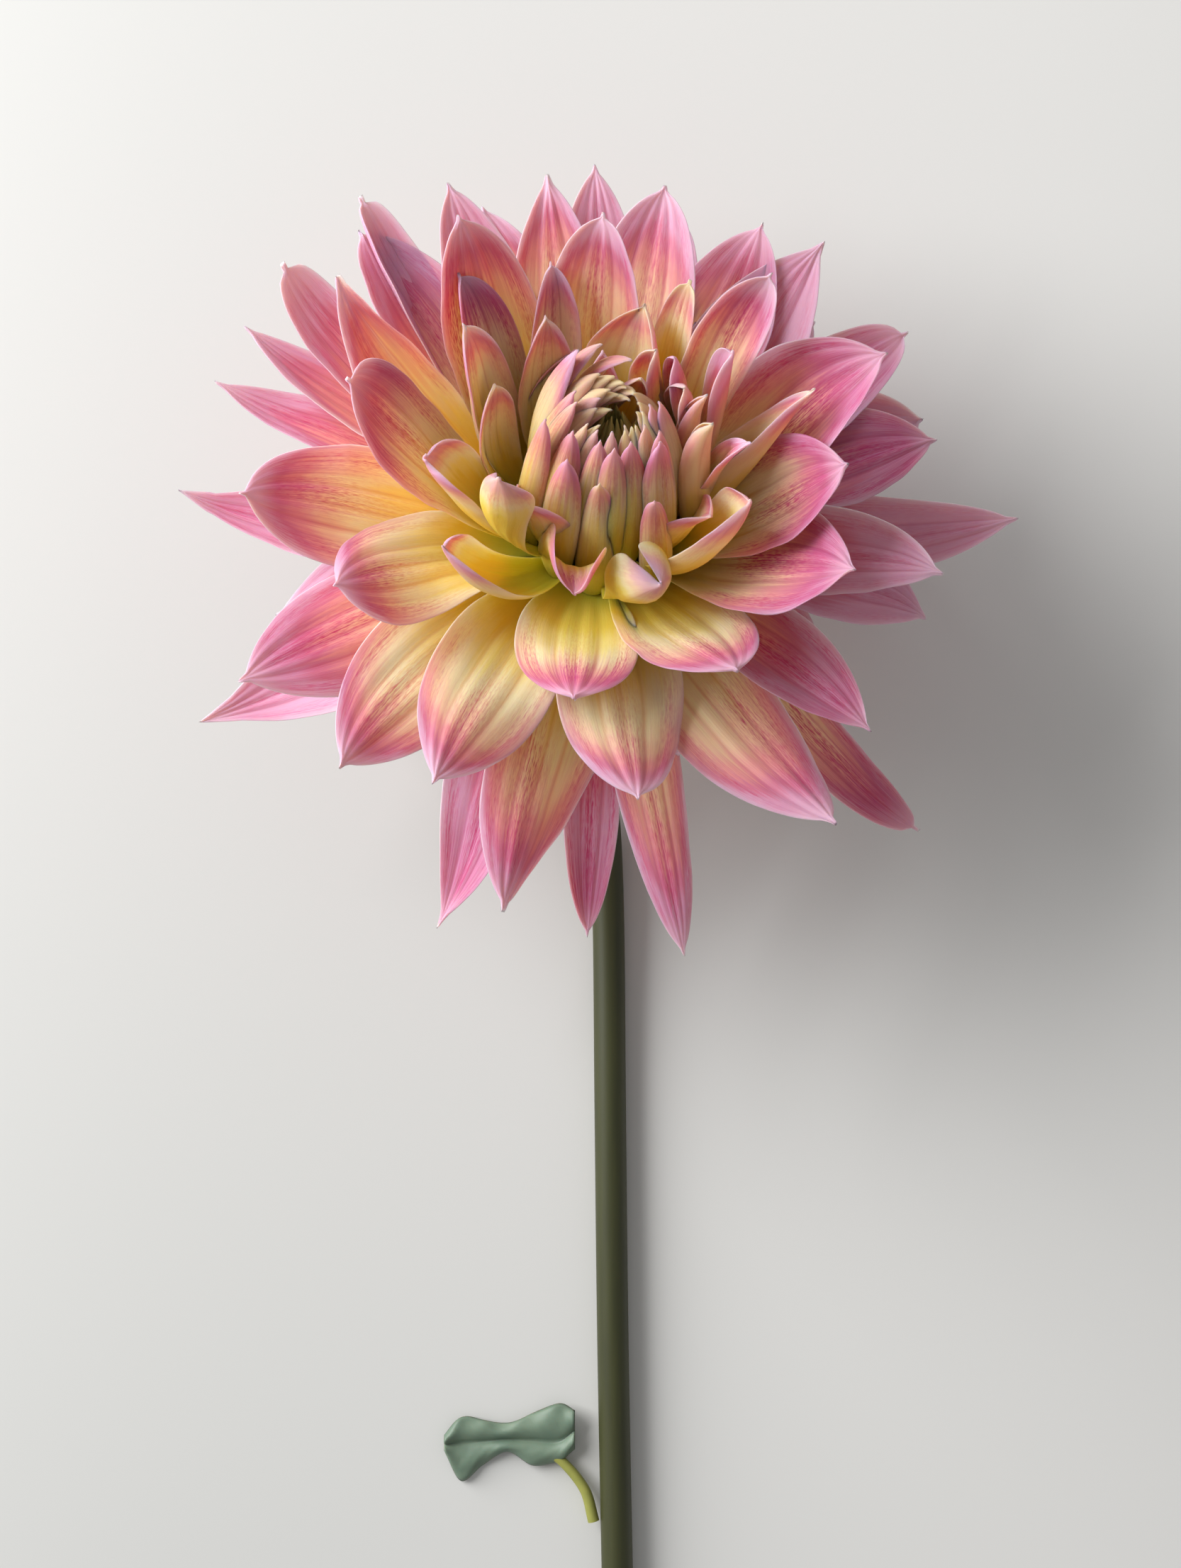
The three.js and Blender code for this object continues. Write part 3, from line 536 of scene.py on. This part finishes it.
def lay_down(mesh, thickness=0.4 * MM):
    """What hangs lower than the floor lies flat on it instead, its upper side this much above its lower one."""
    upward = [normal.vector.z > 0 for normal in mesh.vertex_normals]
    for vertex, up in zip(mesh.vertices, upward):
        vertex.co.z = max(vertex.co.z, thickness if up else 0.0)


def grow_florets(name, rows, seed, cells, **growth):
    """A piece of like florets, each with this many cells across and along."""
    bloom = bpy.context.scene.dahlia_bloom
    tree = bpy.data.node_groups.get("Ray florets") or floret_tree()
    points = floret_points(name, rows, random.Random(seed))
    obj = grow(name, tree, points, Cells_Across=cells[0], Cells_Along=cells[1],
               Thickness=bloom.petal_thickness / MM, Groove=bloom.groove_depth / MM,
               Waviness=bloom.waviness / MM, Material=petal_finish(), **growth)
    obj.data.transform(BLOOM)
    lay_down(obj.data)
    settle(obj, "petals")


# ---- finishes ----
def colour_of(given):
    """The linear light that a shader wants: a screen colour in six digits turned into it, or a property's as it is."""
    if not isinstance(given, str):
        return tuple(given)
    parts = [int(given[i:i + 2], 16) / 255 for i in (0, 2, 4)]
    return tuple(c / 12.92 if c <= 0.04045 else ((c + 0.055) / 1.055) ** 2.4 for c in parts) + (1.0,)


def new_finish(name, **sockets):
    finish = bpy.data.materials.new(name)
    finish.use_nodes = True
    shader = finish.node_tree.nodes["Principled BSDF"]
    for key, value in sockets.items():
        shader.inputs[key.replace("_", " ")].default_value = value
    return finish, finish.node_tree, shader


def object_place(tree):
    return separate(tree.nodes.new("ShaderNodeTexCoord").outputs["Object"])


def attribute(tree, name, output="Fac"):
    made = tree.nodes.new("ShaderNodeAttribute")
    made.attribute_name = name
    return made.outputs[output]


def blend_in(below, above, share):
    """The colour above laid over the colour below by a share; each is a plain colour or comes from a socket."""
    mix = share.tree.nodes.new("ShaderNodeMix")
    mix.data_type = "RGBA"
    plug(share, mix.inputs[0])
    for colour, socket in ((below, mix.inputs[6]), (above, mix.inputs[7])):
        plug(colour if isinstance(colour, bpy.types.NodeSocket) else colour_of(colour), socket)
    return mix.outputs[2]


def ramp(x, stops):
    """The colour at x between stops of a place and a colour each."""
    made = x.tree.nodes.new("ShaderNodeValToRGB")
    made.color_ramp.interpolation = "EASE"
    elements = made.color_ramp.elements
    while len(elements) < len(stops):
        elements.new(0.5)
    for element, (place, colour) in zip(elements, stops):
        element.position = place
        element.color = colour_of(colour)
    plug(x, made.inputs[0])
    return made.outputs[0]


def petal_finish():
    """Yellow at the root, then peach, salmon and pink to a pale lilac point, with crimson run along the veins."""
    known = bpy.data.materials.get("petal")
    if known:
        return known
    bloom = bpy.context.scene.dahlia_bloom
    finish, tree, shader = new_finish("petal", Roughness=bloom.petal_roughness, Subsurface_Weight=0.9,
                                      Subsurface_Radius=(1.0, 0.78, 0.55), Subsurface_Scale=0.002,
                                      Specular_IOR_Level=0.3)
    v, t, z = separate(attribute(tree, "place", "Vector"))
    yellow, blush, shift, pale, seed, width = (
        Sum(attribute(tree, name)) for name in SHARES[2:] + ("seed", "width"))
    wide = width / USUAL_WIDTH
    fine = noise(v * 13 * wide + seed * 40, t * 1.6, seed * 9, 2.0)
    veins = noise(v * 30 * wide + seed * 60, t * 3, seed * 23, 3.0)
    specks = noise(v * 42 * wide + seed * 20, t * 38, seed * 31, 2.0)
    broad = noise(v * 1.3 + seed * 25, t * 2.2, seed * 19)

    # the ground colour by age: how far a spot is from the yellow root, more at the margins
    age = t + 0.24 * broad + 0.26 * fine * rise(t, 0.1, 0.5) + 0.4 * abs(v) ** 3 * rise(t, 0.15, 0.5) - (
        yellow - 0.37) * 0.95 + 0.45 * yellow * rise(t, 0.7, 1.0) * rise(width, 5.0, 8.0)
    colour = ramp(age, ((0.0, bloom.root_colour), (0.14, "F7D684"), (0.34, "F8DBB0"), (0.52, bloom.middle_colour),
                        (0.68, "DE9694"), (0.84, bloom.outer_colour), (0.98, "CC98B4")))
    colour = blend_in(colour, "CCCA44", rise(-age, 0.0, 0.35))

    # crimson run along bands where the blush is, and a flush toward the tip
    band = hump(v, shift, 0.3) + 0.7 * hump(abs(v), 0.76, 0.16)
    stretch = rise(t + 0.3 * fine, 0.22, 0.5) * (1 - rise(t, 0.86, 0.97))
    run = most(0.35 + 2.4 * veins + 2.8 * specks, 0)
    crimson = least(blush * band * stretch * run * 1.5, 0.9)
    spot = blend_in("DE9248", bloom.crimson, rise(age, 0.2, 0.5))
    colour = blend_in(colour, spot, crimson * (0.35 + 0.65 * rise(age, 0.15, 0.5)))
    flush = rise(blush, 0.4, 0.8) * rise(t + 0.25 * fine, 0.6, 0.86) * most(0.6 + 1.3 * veins, 0)
    colour = blend_in(colour, "AC4678", least(flush, 0.85))

    # fine lines along the grooves, pale margins, the pale tip and the duller back
    wander = vein_wander(t, seed)
    lines = (hump(abs(v + wander), 0.34, 0.035) + 0.8 * hump(v + wander, 0, 0.03)) * rise(t, 0.15, 0.4) * (
        1 - rise(t, 0.9, 0.98))
    ink = blend_in("BE8A34", "AC4670", rise(age, 0.2, 0.6))
    colour = blend_in(colour, ink, least(lines * (0.22 + 0.3 * blush) * rise(age, -0.1, 0.3), 0.6))
    outer = rise(t, 0.6, 0.9)
    margin = rise(abs(v), 0.7, 1.0) * rise(pale, 0.4, 0.9) * (0.4 + 0.5 * broad)
    colour = blend_in(colour, "F3D9C4", margin * (1 - outer))
    tip = blend_in(bloom.tip_colour, "EBD6A4", rise(pale, 0.4, 0.6) * rise(yellow, 0.7, 0.78))
    colour = blend_in(colour, tip, least(rise(t, 0.86, 1.0) * (0.35 + 0.5 * pale) + margin * outer * 0.5, 0.85))
    duller = ramp(age, ((0.1, "DDB648"), (0.45, "E8B274"), (0.75, "DE9C96"), (0.95, "D488AE")))
    plug(blend_in(colour, duller, rise(-z, 0.0, 0.05) * 0.35), shader.inputs["Base Color"])
    relief = node(tree, "ShaderNodeBump", Strength=0.25, Distance=0.0002, Height=veins + 0.5 * specks)
    plug(relief, shader.inputs["Normal"])
    return finish


def mottled_finish(name, light, dark, stretch, share=0.5, **sockets):
    """A living surface of two near colours that run into each other, longer one way than another."""
    finish, tree, shader = new_finish(name, **sockets)
    x, y, z = object_place(tree)
    grain = noise(x * stretch[0], y * stretch[1], z * stretch[2], 3.0)
    plug(blend_in(light, dark, least(most(share + 1.4 * grain, 0), 1)), shader.inputs["Base Color"])
    return finish


# ---- the eye ----
def eye_tree():
    """Closed young florets in a golden-angle spiral, each leaning in over the hollow."""
    tree, given = new_tree("Eye florets", Buds=50, Bud_Length=9.5, Bud_Width=1.5, Eye_Radius=5.6, Floor=23.0,
                           Golden_Turn=137.508, Material=None)
    bud = node(tree, "GeometryNodeMeshUVSphere", Segments=12, Rings=12, Radius=1.0)
    x, y, z = position(tree)
    slim, ribs = 1 - 0.45 * rise(z, 0.0, 1.0), 1 + 0.1 * cos(5 * arc_tangent(y, x))
    shaped = node(tree, "GeometryNodeSetPosition", bud, Position=combine(
        x * slim * ribs * given["Bud Width"] / 2, y * slim * ribs * given["Bud Width"] / 2,
        (z + 1) * given["Bud Length"] / 2))
    stored = node(tree, "GeometryNodeStoreNamedAttribute", shaped, data_type="FLOAT", domain="POINT",
                  Name="height", Value=(z + 1) / 2)
    row = node(tree, "GeometryNodeMeshLine", Count=given["Buds"])
    index = Sum(node(tree, "GeometryNodeInputIndex"))
    share = root((index + 0.5) / given["Buds"])
    turn = radians(index * given["Golden Turn"])
    out = share * (given["Eye Radius"] - 0.55)
    spiral = node(tree, "GeometryNodeSetPosition", row,
                  Position=combine(out * cos(turn), out * sin(turn), given["Floor"]))
    grown = node(tree, "GeometryNodeInstanceOnPoints", spiral, Instance=stored,
                 Rotation=combine(0.0, share * share * 0.1 - 0.42 * share, turn),
                 Scale=combine(0.55 + 0.5 * share, 0.55 + 0.5 * share, 0.42 + 0.75 * share * share))
    return finish_tree(tree, grown, given)


def eye_finish():
    finish, tree, shader = new_finish("young floret", Roughness=0.55, Subsurface_Weight=0.15, Subsurface_Scale=0.001)
    height = Sum(attribute(tree, "height"))
    grain = noise(*object_place(tree))
    colour = ramp(height + 0.1 * grain, ((0.0, "33330C"), (0.5, "6A6A1C"), (0.85, "8C8A34"), (1.0, "B8AC63")))
    plug(colour, shader.inputs["Base Color"])
    return finish


# ---- stem, calyx and leaf ----
def smooth_line(points, steps):
    """Points evenly along a smooth line through the given ones, which may have any number of parts."""
    ends = [Vector(p) for p in points]
    ends = [2 * ends[0] - ends[1]] + ends + [2 * ends[-1] - ends[-2]]
    line = []
    for i in range(steps + 1):
        place = i / steps * (len(points) - 1)
        k = min(int(place), len(points) - 2)
        t = place - k
        a, b, c, d = ends[k:k + 4]
        line.append(0.5 * (2 * b + (c - a) * t + (2 * a - 5 * b + 4 * c - d) * t ** 2
                           + (3 * b - a - 3 * c + d) * t ** 3))
    return line


def sweep_tree():
    """A round bar along a line of points, as thick at each as the point says, lying on the floor where it meets it."""
    tree, given = new_tree("Bar along a line", Sides=32, Spacing=0.0015, Material=None)
    line = node(tree, "GeometryNodeMeshToCurve", given["Geometry"])
    even = node(tree, "GeometryNodeResampleCurve", line, mode="LENGTH", Length=given["Spacing"])
    ring = node(tree, "GeometryNodeCurvePrimitiveCircle", Resolution=given["Sides"], Radius=1.0)
    bar = node(tree, "GeometryNodeCurveToMesh", even, ring, Scale=named(tree, "thick"), Fill_Caps=True)
    x, y, z = position(tree)
    laid = node(tree, "GeometryNodeSetPosition", bar, Position=combine(x, y, most(z, 0)))
    return finish_tree(tree, laid, given)


def line_mesh(name, points, steps, first, last):
    """A smooth line through the points, growing from the first thickness to the last."""
    mesh = bpy.data.meshes.new(name + "_line")
    mesh.from_pydata([p * MM + ORIGIN for p in smooth_line(points, steps)], [(i, i + 1) for i in range(steps)], [])
    radii = [(first + (last - first) * i / steps) * MM for i in range(steps + 1)]
    mesh.attributes.new("thick", "FLOAT", "POINT").data.foreach_set("value", radii)
    return mesh


def hollow_end(mesh, wall):
    """Opens the cut end of the stem: a rim of this width round a hollow."""
    work = bmesh.new()
    work.from_mesh(mesh)
    caps = [face for face in work.faces if len(face.verts) > 8]
    end = min(caps, key=lambda face: face.calc_center_median().y)
    for width, height in ((0.25 * MM, 0.15 * MM), (wall, 0.0), (0.15 * MM, -5 * MM)):
        bmesh.ops.inset_individual(work, faces=[end], thickness=width, depth=height)
    work.to_mesh(mesh)
    work.free()


def shell(mesh, merge=0.0):
    """Turns every face outward and makes it smooth, after merging points nearer than this."""
    work = bmesh.new()
    work.from_mesh(mesh)
    if merge:
        bmesh.ops.remove_doubles(work, verts=work.verts, dist=merge)
    bmesh.ops.recalc_face_normals(work, faces=work.faces)
    for face in work.faces:
        face.smooth = True
    work.to_mesh(mesh)
    work.free()
    return mesh


def lathe(name, profile, steps):
    """A closed mesh turned about the bloom's axis from radius and height pairs."""
    mesh = bpy.data.meshes.new(name)
    rings = [[BLOOM @ Vector((r * math.sin(2 * math.pi * i / steps), r * math.cos(2 * math.pi * i / steps), h))
              for i in range(steps)] for r, h in profile]
    faces = [[j * steps + i, (j + 1) * steps + i, (j + 1) * steps + (i + 1) % steps, j * steps + (i + 1) % steps]
             for j in range(len(profile) - 1) for i in range(steps)]
    faces += [list(range(steps)), [(len(profile) - 1) * steps + i for i in reversed(range(steps))]]
    mesh.from_pydata([p for ring in rings for p in ring], [], faces)
    return shell(mesh)


def bract_tree():
    """Green bracts in a ring behind the bloom, each bent back toward the stem."""
    tree, given = new_tree("Bracts", Bracts=7, Bract_Length=15.0, Bract_Width=7.0, Foot=5.5, Height=-11.2,
                           Thickness=0.7, Material=None)

    def place(v, y, side):
        t = y + 0.5
        half_width = given["Bract Width"] / 2 * outline(t * 0.96, 0.5, 0.8)
        lean = radians(70 + 85 * rise(t, 0.0, 0.75))
        out = given["Foot"] + given["Bract Length"] * (t * 0.62 - 0.18 * t * t)
        down = -1 * given["Bract Length"] * 0.78 * t ** 1.7
        lift = side * given["Thickness"] / 2 - 0.5 * hump(v, 0, 0.3) + 0.9 * v * v
        return v * half_width, out + lift * cos(lean), given["Height"] + 1.2 + down + lift * sin(lean)

    bract = closed_sheet(tree, 13, 21, place, 0.001)
    row = node(tree, "GeometryNodeMeshLine", Count=given["Bracts"])
    here = node(tree, "GeometryNodeSetPosition", row, Position=(0.0, 0.0, 0.0))
    turn = (Sum(node(tree, "GeometryNodeInputIndex")) + 0.5) * (2 * math.pi) / given["Bracts"]
    ring = node(tree, "GeometryNodeInstanceOnPoints", here, Instance=bract, Rotation=combine(0.0, 0.0, turn))
    return finish_tree(tree, ring, given)


def leaf_mesh(thickness):
    """The blade: a closed shell through its far edge, vein and near edge, with side veins pressed in."""
    along, across = 64, 24  # cells
    far, vein, near = (smooth_line([Vector((row[0], row[k], row[4] + higher)) for row in LEAF_BLADE], along)
                       for k, higher in ((1, 0.3), (2, 0), (3, -0.2)))
    upper, lower = [], []
    for j, (low, mid, high) in enumerate(zip(near, vein, far)):
        for i in range(across + 1):
            u = 2 * i / across - 1
            point = mid.lerp(high if u > 0 else low, abs(u))
            slant = j / along * 9 - abs(u) * 2.2
            ribs = max(0.0, 1 - abs((slant % 1) - 0.5) / 0.12) * (1 - abs(u)) * abs(u) * 3
            bulge = 1.1 * math.sin(math.pi * abs(u)) - 0.35 * math.exp(-(u / 0.07) ** 2) - 0.16 * min(ribs, 1)
            bulge += 0.3 * math.sin(j * 0.45 + 2 * u) * u * u
            point = Vector((point.x, point.y, max(thickness / 2, point.z + bulge)))
            rim = 0.0 if i in (0, across) or j in (0, along) else thickness / 2
            upper.append(point + Vector((0, 0, rim)))
            lower.append(point - Vector((0, 0, rim)))
    wide = across + 1
    faces = []
    for j in range(along):
        for i in range(across):
            a = j * wide + i
            faces.append((a, a + 1, a + wide + 1, a + wide))
            faces.append(tuple(k + len(upper) for k in (a + wide, a + wide + 1, a + 1, a)))
    mesh = bpy.data.meshes.new("leaf_blade")
    mesh.from_pydata([p * MM + ORIGIN for p in upper + lower], [], faces)
    return shell(mesh, merge=1e-6)


# ---- what a user sets ----
def length(label, description, default, low, high):
    return bpy.props.FloatProperty(name=label, description=description, default=default, min=low, max=high,
                                   subtype="DISTANCE", unit="LENGTH", precision=4)


def shade(label, description, colour):
    return bpy.props.FloatVectorProperty(name=label, description=description, size=4, subtype="COLOR", min=0, max=1,
                                         default=colour_of(colour))


class DahliaBloom(bpy.types.PropertyGroup):
    petal_thickness: length("Petal thickness", "Thickness of a ray floret", 0.5 * MM, 0.2 * MM, 1 * MM)
    groove_depth: length("Groove depth", "Depth of the grooves along a ray floret", 0.2 * MM, 0, 1 * MM)
    waviness: length("Waviness", "How far the surface of a floret wanders", 0.8 * MM, 0, 3 * MM)
    petal_roughness: bpy.props.FloatProperty(name="Petal roughness", description="How matt the petals are",
                                             default=0.5, min=0, max=1, subtype="FACTOR")
    root_colour: shade("Root", "Colour of the petals where they grow out", "F0CB54")
    middle_colour: shade("Middle", "Colour of the petals half way", "F0C0A2")
    outer_colour: shade("Outer half", "Colour of the petals near their tips", "C67892")
    tip_colour: shade("Tip", "Colour of the petals' points", "DCB6C8")
    crimson: shade("Crimson", "Colour that runs along the veins", "BE3070")
    eye_buds: bpy.props.IntProperty(name="Eye buds", description="Young florets in the eye", default=50, min=5,
                                    max=120)


class DahliaGreens(bpy.types.PropertyGroup):
    stem_radius: length("Stem radius", "Radius of the stem", 3.1 * MM, 1 * MM, 6 * MM)
    stem_wall: length("Stem wall", "Wall of the hollow stem at its cut end", 0.9 * MM, 0.3 * MM, 2 * MM)
    stem_colour: shade("Stem", "Colour of the stem", "40421F")
    bracts: bpy.props.IntProperty(name="Bracts", description="Green bracts behind the bloom", default=7, min=3,
                                  max=12)
    calyx_colour: shade("Calyx", "Colour of the calyx and its bracts", "7C8450")
    leaf_thickness: length("Leaf thickness", "Thickness of the leaf", 0.6 * MM, 0.2 * MM, 1.5 * MM)
    leaf_colour: shade("Leaf", "Colour of the leaf", "7C8F7A")


class DahliaStudio(bpy.types.PropertyGroup):
    floor_colour: shade("Floor", "Colour of the floor", "D4D4D2")
    key_power: bpy.props.FloatProperty(name="Key light", description="Power of the soft lamp at the left",
                                       default=14.2, min=0, max=500, subtype="POWER", unit="POWER")
    fill: bpy.props.FloatProperty(name="Fill", description="Strength of the light from all round", default=0.32,
                                  min=0, max=5)


# ---- operators ----
class DAHLIA_OT_receptacle(bpy.types.Operator):
    """The small core that the florets grow from"""
    bl_idname = "dahlia.receptacle"
    bl_label = "Receptacle"

    def execute(self, context):
        finish = mottled_finish("receptacle green", "B7B040", "8F8E2C", (300, 300, 300), Roughness=0.7)
        settle(plain("receptacle", lathe("receptacle", CORE, 40), finish), "petals")
        return {"FINISHED"}


class DAHLIA_OT_outer_florets(bpy.types.Operator):
    """The outer ring of ray florets and the hidden ones at the back"""
    bl_idname = "dahlia.outer_florets"
    bl_label = "Outer florets"

    def execute(self, context):
        grow_florets("outer_florets", OUTER_FLORETS + BACK_FLORETS, seed=11, cells=(37, 41))
        return {"FINISHED"}


class DAHLIA_OT_middle_florets(bpy.types.Operator):
    """The broad florets that face the viewer"""
    bl_idname = "dahlia.middle_florets"
    bl_label = "Middle florets"

    def execute(self, context):
        grow_florets("middle_florets", MIDDLE_FLORETS, seed=23, cells=(39, 45))
        return {"FINISHED"}


class DAHLIA_OT_inner_florets(bpy.types.Operator):
    """The narrower, more cupped florets further in"""
    bl_idname = "dahlia.inner_florets"
    bl_label = "Inner florets"

    def execute(self, context):
        grow_florets("inner_florets", INNER_FLORETS, seed=37, cells=(37, 41))
        return {"FINISHED"}


class DAHLIA_OT_heart_florets(bpy.types.Operator):
    """The small florets packed round the eye"""
    bl_idname = "dahlia.heart_florets"
    bl_label = "Heart florets"

    def execute(self, context):
        grow_florets("heart_florets", HEART_FLORETS, seed=41, cells=(21, 33), Root_Radius=14.5, Base_Lean=30.0,
                     By_Lean=1.6, Upright=40.0)
        return {"FINISHED"}


class DAHLIA_OT_eye(bpy.types.Operator):
    """The dark olive hollow of young florets in the middle"""
    bl_idname = "dahlia.eye"
    bl_label = "Eye"

    def execute(self, context):
        buds = grow("eye_florets", eye_tree(), Buds=context.scene.dahlia_bloom.eye_buds, Material=eye_finish())
        buds.data.transform(BLOOM)
        settle(buds, "eye")
        finish = mottled_finish("eye floor olive", "3A3A12", "2A2A0C", (900, 900, 900), Roughness=0.8)
        settle(plain("eye_floor", lathe("eye_floor", EYE_FLOOR, 32), finish), "eye")
        return {"FINISHED"}


class DAHLIA_OT_stem(bpy.types.Operator):
    """The round stem from the bloom's neck to its cut end"""
    bl_idname = "dahlia.stem"
    bl_label = "Stem"

    def execute(self, context):
        greens = context.scene.dahlia_greens
        neck = [(BLOOM @ Vector((0, 0, h)) - ORIGIN) / MM for h in (-10, -18)]
        radius = greens.stem_radius / MM
        line = line_mesh("stem_bar", neck + list(STEM_LINE), 120, 1.04 * radius, radius)
        finish = mottled_finish("stem green", greens.stem_colour, "2E3119", (500, 40, 500), 0.45, Roughness=0.5)
        stem = grow("stem_bar", sweep_tree(), line, Material=finish)
        hollow_end(stem.data, greens.stem_wall)
        settle(stem, "stem")
        return {"FINISHED"}


class DAHLIA_OT_calyx(bpy.types.Operator):
    """The green cup and the bracts behind the bloom"""
    bl_idname = "dahlia.calyx"
    bl_label = "Calyx and bracts"

    def execute(self, context):
        greens = context.scene.dahlia_greens
        finish = mottled_finish("calyx green", greens.calyx_colour, "5C6638", (260, 260, 260), Roughness=0.55)
        settle(plain("calyx", lathe("calyx", CALYX, 40), finish), "stem")
        bracts = grow("bracts", bract_tree(), Bracts=greens.bracts, Material=finish)
        bracts.data.transform(BLOOM)
        lay_down(bracts.data)
        settle(bracts, "stem")
        return {"FINISHED"}


class DAHLIA_OT_leaf(bpy.types.Operator):
    """The small leaf and its yellow-green stalk"""
    bl_idname = "dahlia.leaf"
    bl_label = "Leaf"

    def execute(self, context):
        greens = context.scene.dahlia_greens
        finish = mottled_finish("leaf green", greens.leaf_colour, "5F7565", (180, 260, 60), Roughness=0.5,
                                Subsurface_Weight=0.1, Subsurface_Scale=0.001)
        settle(plain("leaf_blade", leaf_mesh(greens.leaf_thickness / MM), finish), "leaf")
        finish = mottled_finish("stalk green", "A2A04E", "7F8440", (300, 300, 300), Roughness=0.5)
        line = line_mesh("leaf_stalk", STALK_LINE, 30, 1.15, 0.9)
        stalk = grow("leaf_stalk", sweep_tree(), line, Sides=16, Spacing=0.0008, Material=finish)
        settle(stalk, "leaf")
        return {"FINISHED"}


class DAHLIA_OT_stage(bpy.types.Operator):
    """The pale floor, the soft light and the camera that looks down"""
    bl_idname = "dahlia.stage"
    bl_label = "Stage"

    def execute(self, context):
        studio = context.scene.dahlia_studio
        mesh = bpy.data.meshes.new("floor")
        mesh.from_pydata([(-3, -3, 0), (3, -3, 0), (3, 3, 0), (-3, 3, 0)], [], [(0, 1, 2, 3)])
        finish, tree, shader = new_finish("pale floor", Roughness=0.85)
        # Painted light: the floor is painted lighter toward +X, to even out the bloom's shadow and the key lamp's
        # fall-off on that side.
        painted_lightening = rise(object_place(tree)[0], -0.1, 0.14)
        plug(blend_in(studio.floor_colour, "E9E8E6", painted_lightening), shader.inputs["Base Color"])
        floor = plain("floor", mesh, finish)
        floor.location.z = -0.0002  # just under what lies on it

        place_key_light(studio.key_power)
        world = bpy.data.worlds.new("studio")
        world.use_nodes = True
        background = world.node_tree.nodes["Background"].inputs
        background["Color"].default_value = (0.985, 0.99, 0.98, 1)
        background["Strength"].default_value = studio.fill
        context.scene.world = world
        place_camera(context.scene)
        context.scene.view_settings.view_transform = "Standard"
        context.scene.view_settings.look = "None"
        return {"FINISHED"}


def place_key_light(power):
    """One large soft lamp, high at the left."""
    light = bpy.data.lights.new("key", "AREA")
    light.shape = "RECTANGLE"
    light.size = light.size_y = 0.7
    light.energy, light.color = power, (1.0, 1.0, 0.99)
    lamp = bpy.data.objects.new("key", light)
    lamp.location = place = Vector((-0.7, 0.38, 0.43))
    lamp.rotation_euler = (Vector((0, 0.03, 0.04)) - place).to_track_quat("-Z", "Y").to_euler()
    bpy.context.collection.objects.link(lamp)


def place_camera(scene):
    """Straight down from half a metre, with the bloom's top toward the top of the picture."""
    focal_pixels, long_side = 3541, 2212
    data = bpy.data.cameras.new("camera")
    data.sensor_width = 36
    data.lens = data.sensor_width * focal_pixels / long_side
    data.clip_start = 0.01
    camera = bpy.data.objects.new("camera", data)
    camera.location = ORIGIN + Vector((-1.525, -43.96, 500)) * MM
    scene.collection.objects.link(camera)
    scene.camera = camera


OPERATORS = (DAHLIA_OT_receptacle, DAHLIA_OT_outer_florets, DAHLIA_OT_middle_florets, DAHLIA_OT_inner_florets,
             DAHLIA_OT_heart_florets, DAHLIA_OT_eye, DAHLIA_OT_stem, DAHLIA_OT_calyx, DAHLIA_OT_leaf,
             DAHLIA_OT_stage)


class DAHLIA_PT_flower(bpy.types.Panel):
    """The flower's sizes, finishes and pieces"""
    bl_idname = "DAHLIA_PT_flower"
    bl_label = "Dahlia Flower"
    bl_space_type = "VIEW_3D"
    bl_region_type = "UI"
    bl_category = "Dahlia"

    def draw(self, context):
        for group in (context.scene.dahlia_bloom, context.scene.dahlia_greens, context.scene.dahlia_studio):
            box = self.layout.box()
            for key in group.__annotations__:
                box.prop(group, key)
        for operator in OPERATORS:
            self.layout.operator(operator.bl_idname)


GROUPS = {"dahlia_bloom": DahliaBloom, "dahlia_greens": DahliaGreens, "dahlia_studio": DahliaStudio}
CLASSES = tuple(GROUPS.values()) + OPERATORS + (DAHLIA_PT_flower,)


def register():
    for item in CLASSES:
        bpy.utils.register_class(item)
    for key, group in GROUPS.items():
        setattr(bpy.types.Scene, key, bpy.props.PointerProperty(type=group))


def unregister():
    for key in GROUPS:
        delattr(bpy.types.Scene, key)
    for item in reversed(CLASSES):
        bpy.utils.unregister_class(item)


def main():
    register()
    for operator in OPERATORS:
        group, name = operator.bl_idname.split(".")
        getattr(getattr(bpy.ops, group), name)()


if __name__ == "__main__":
    main()
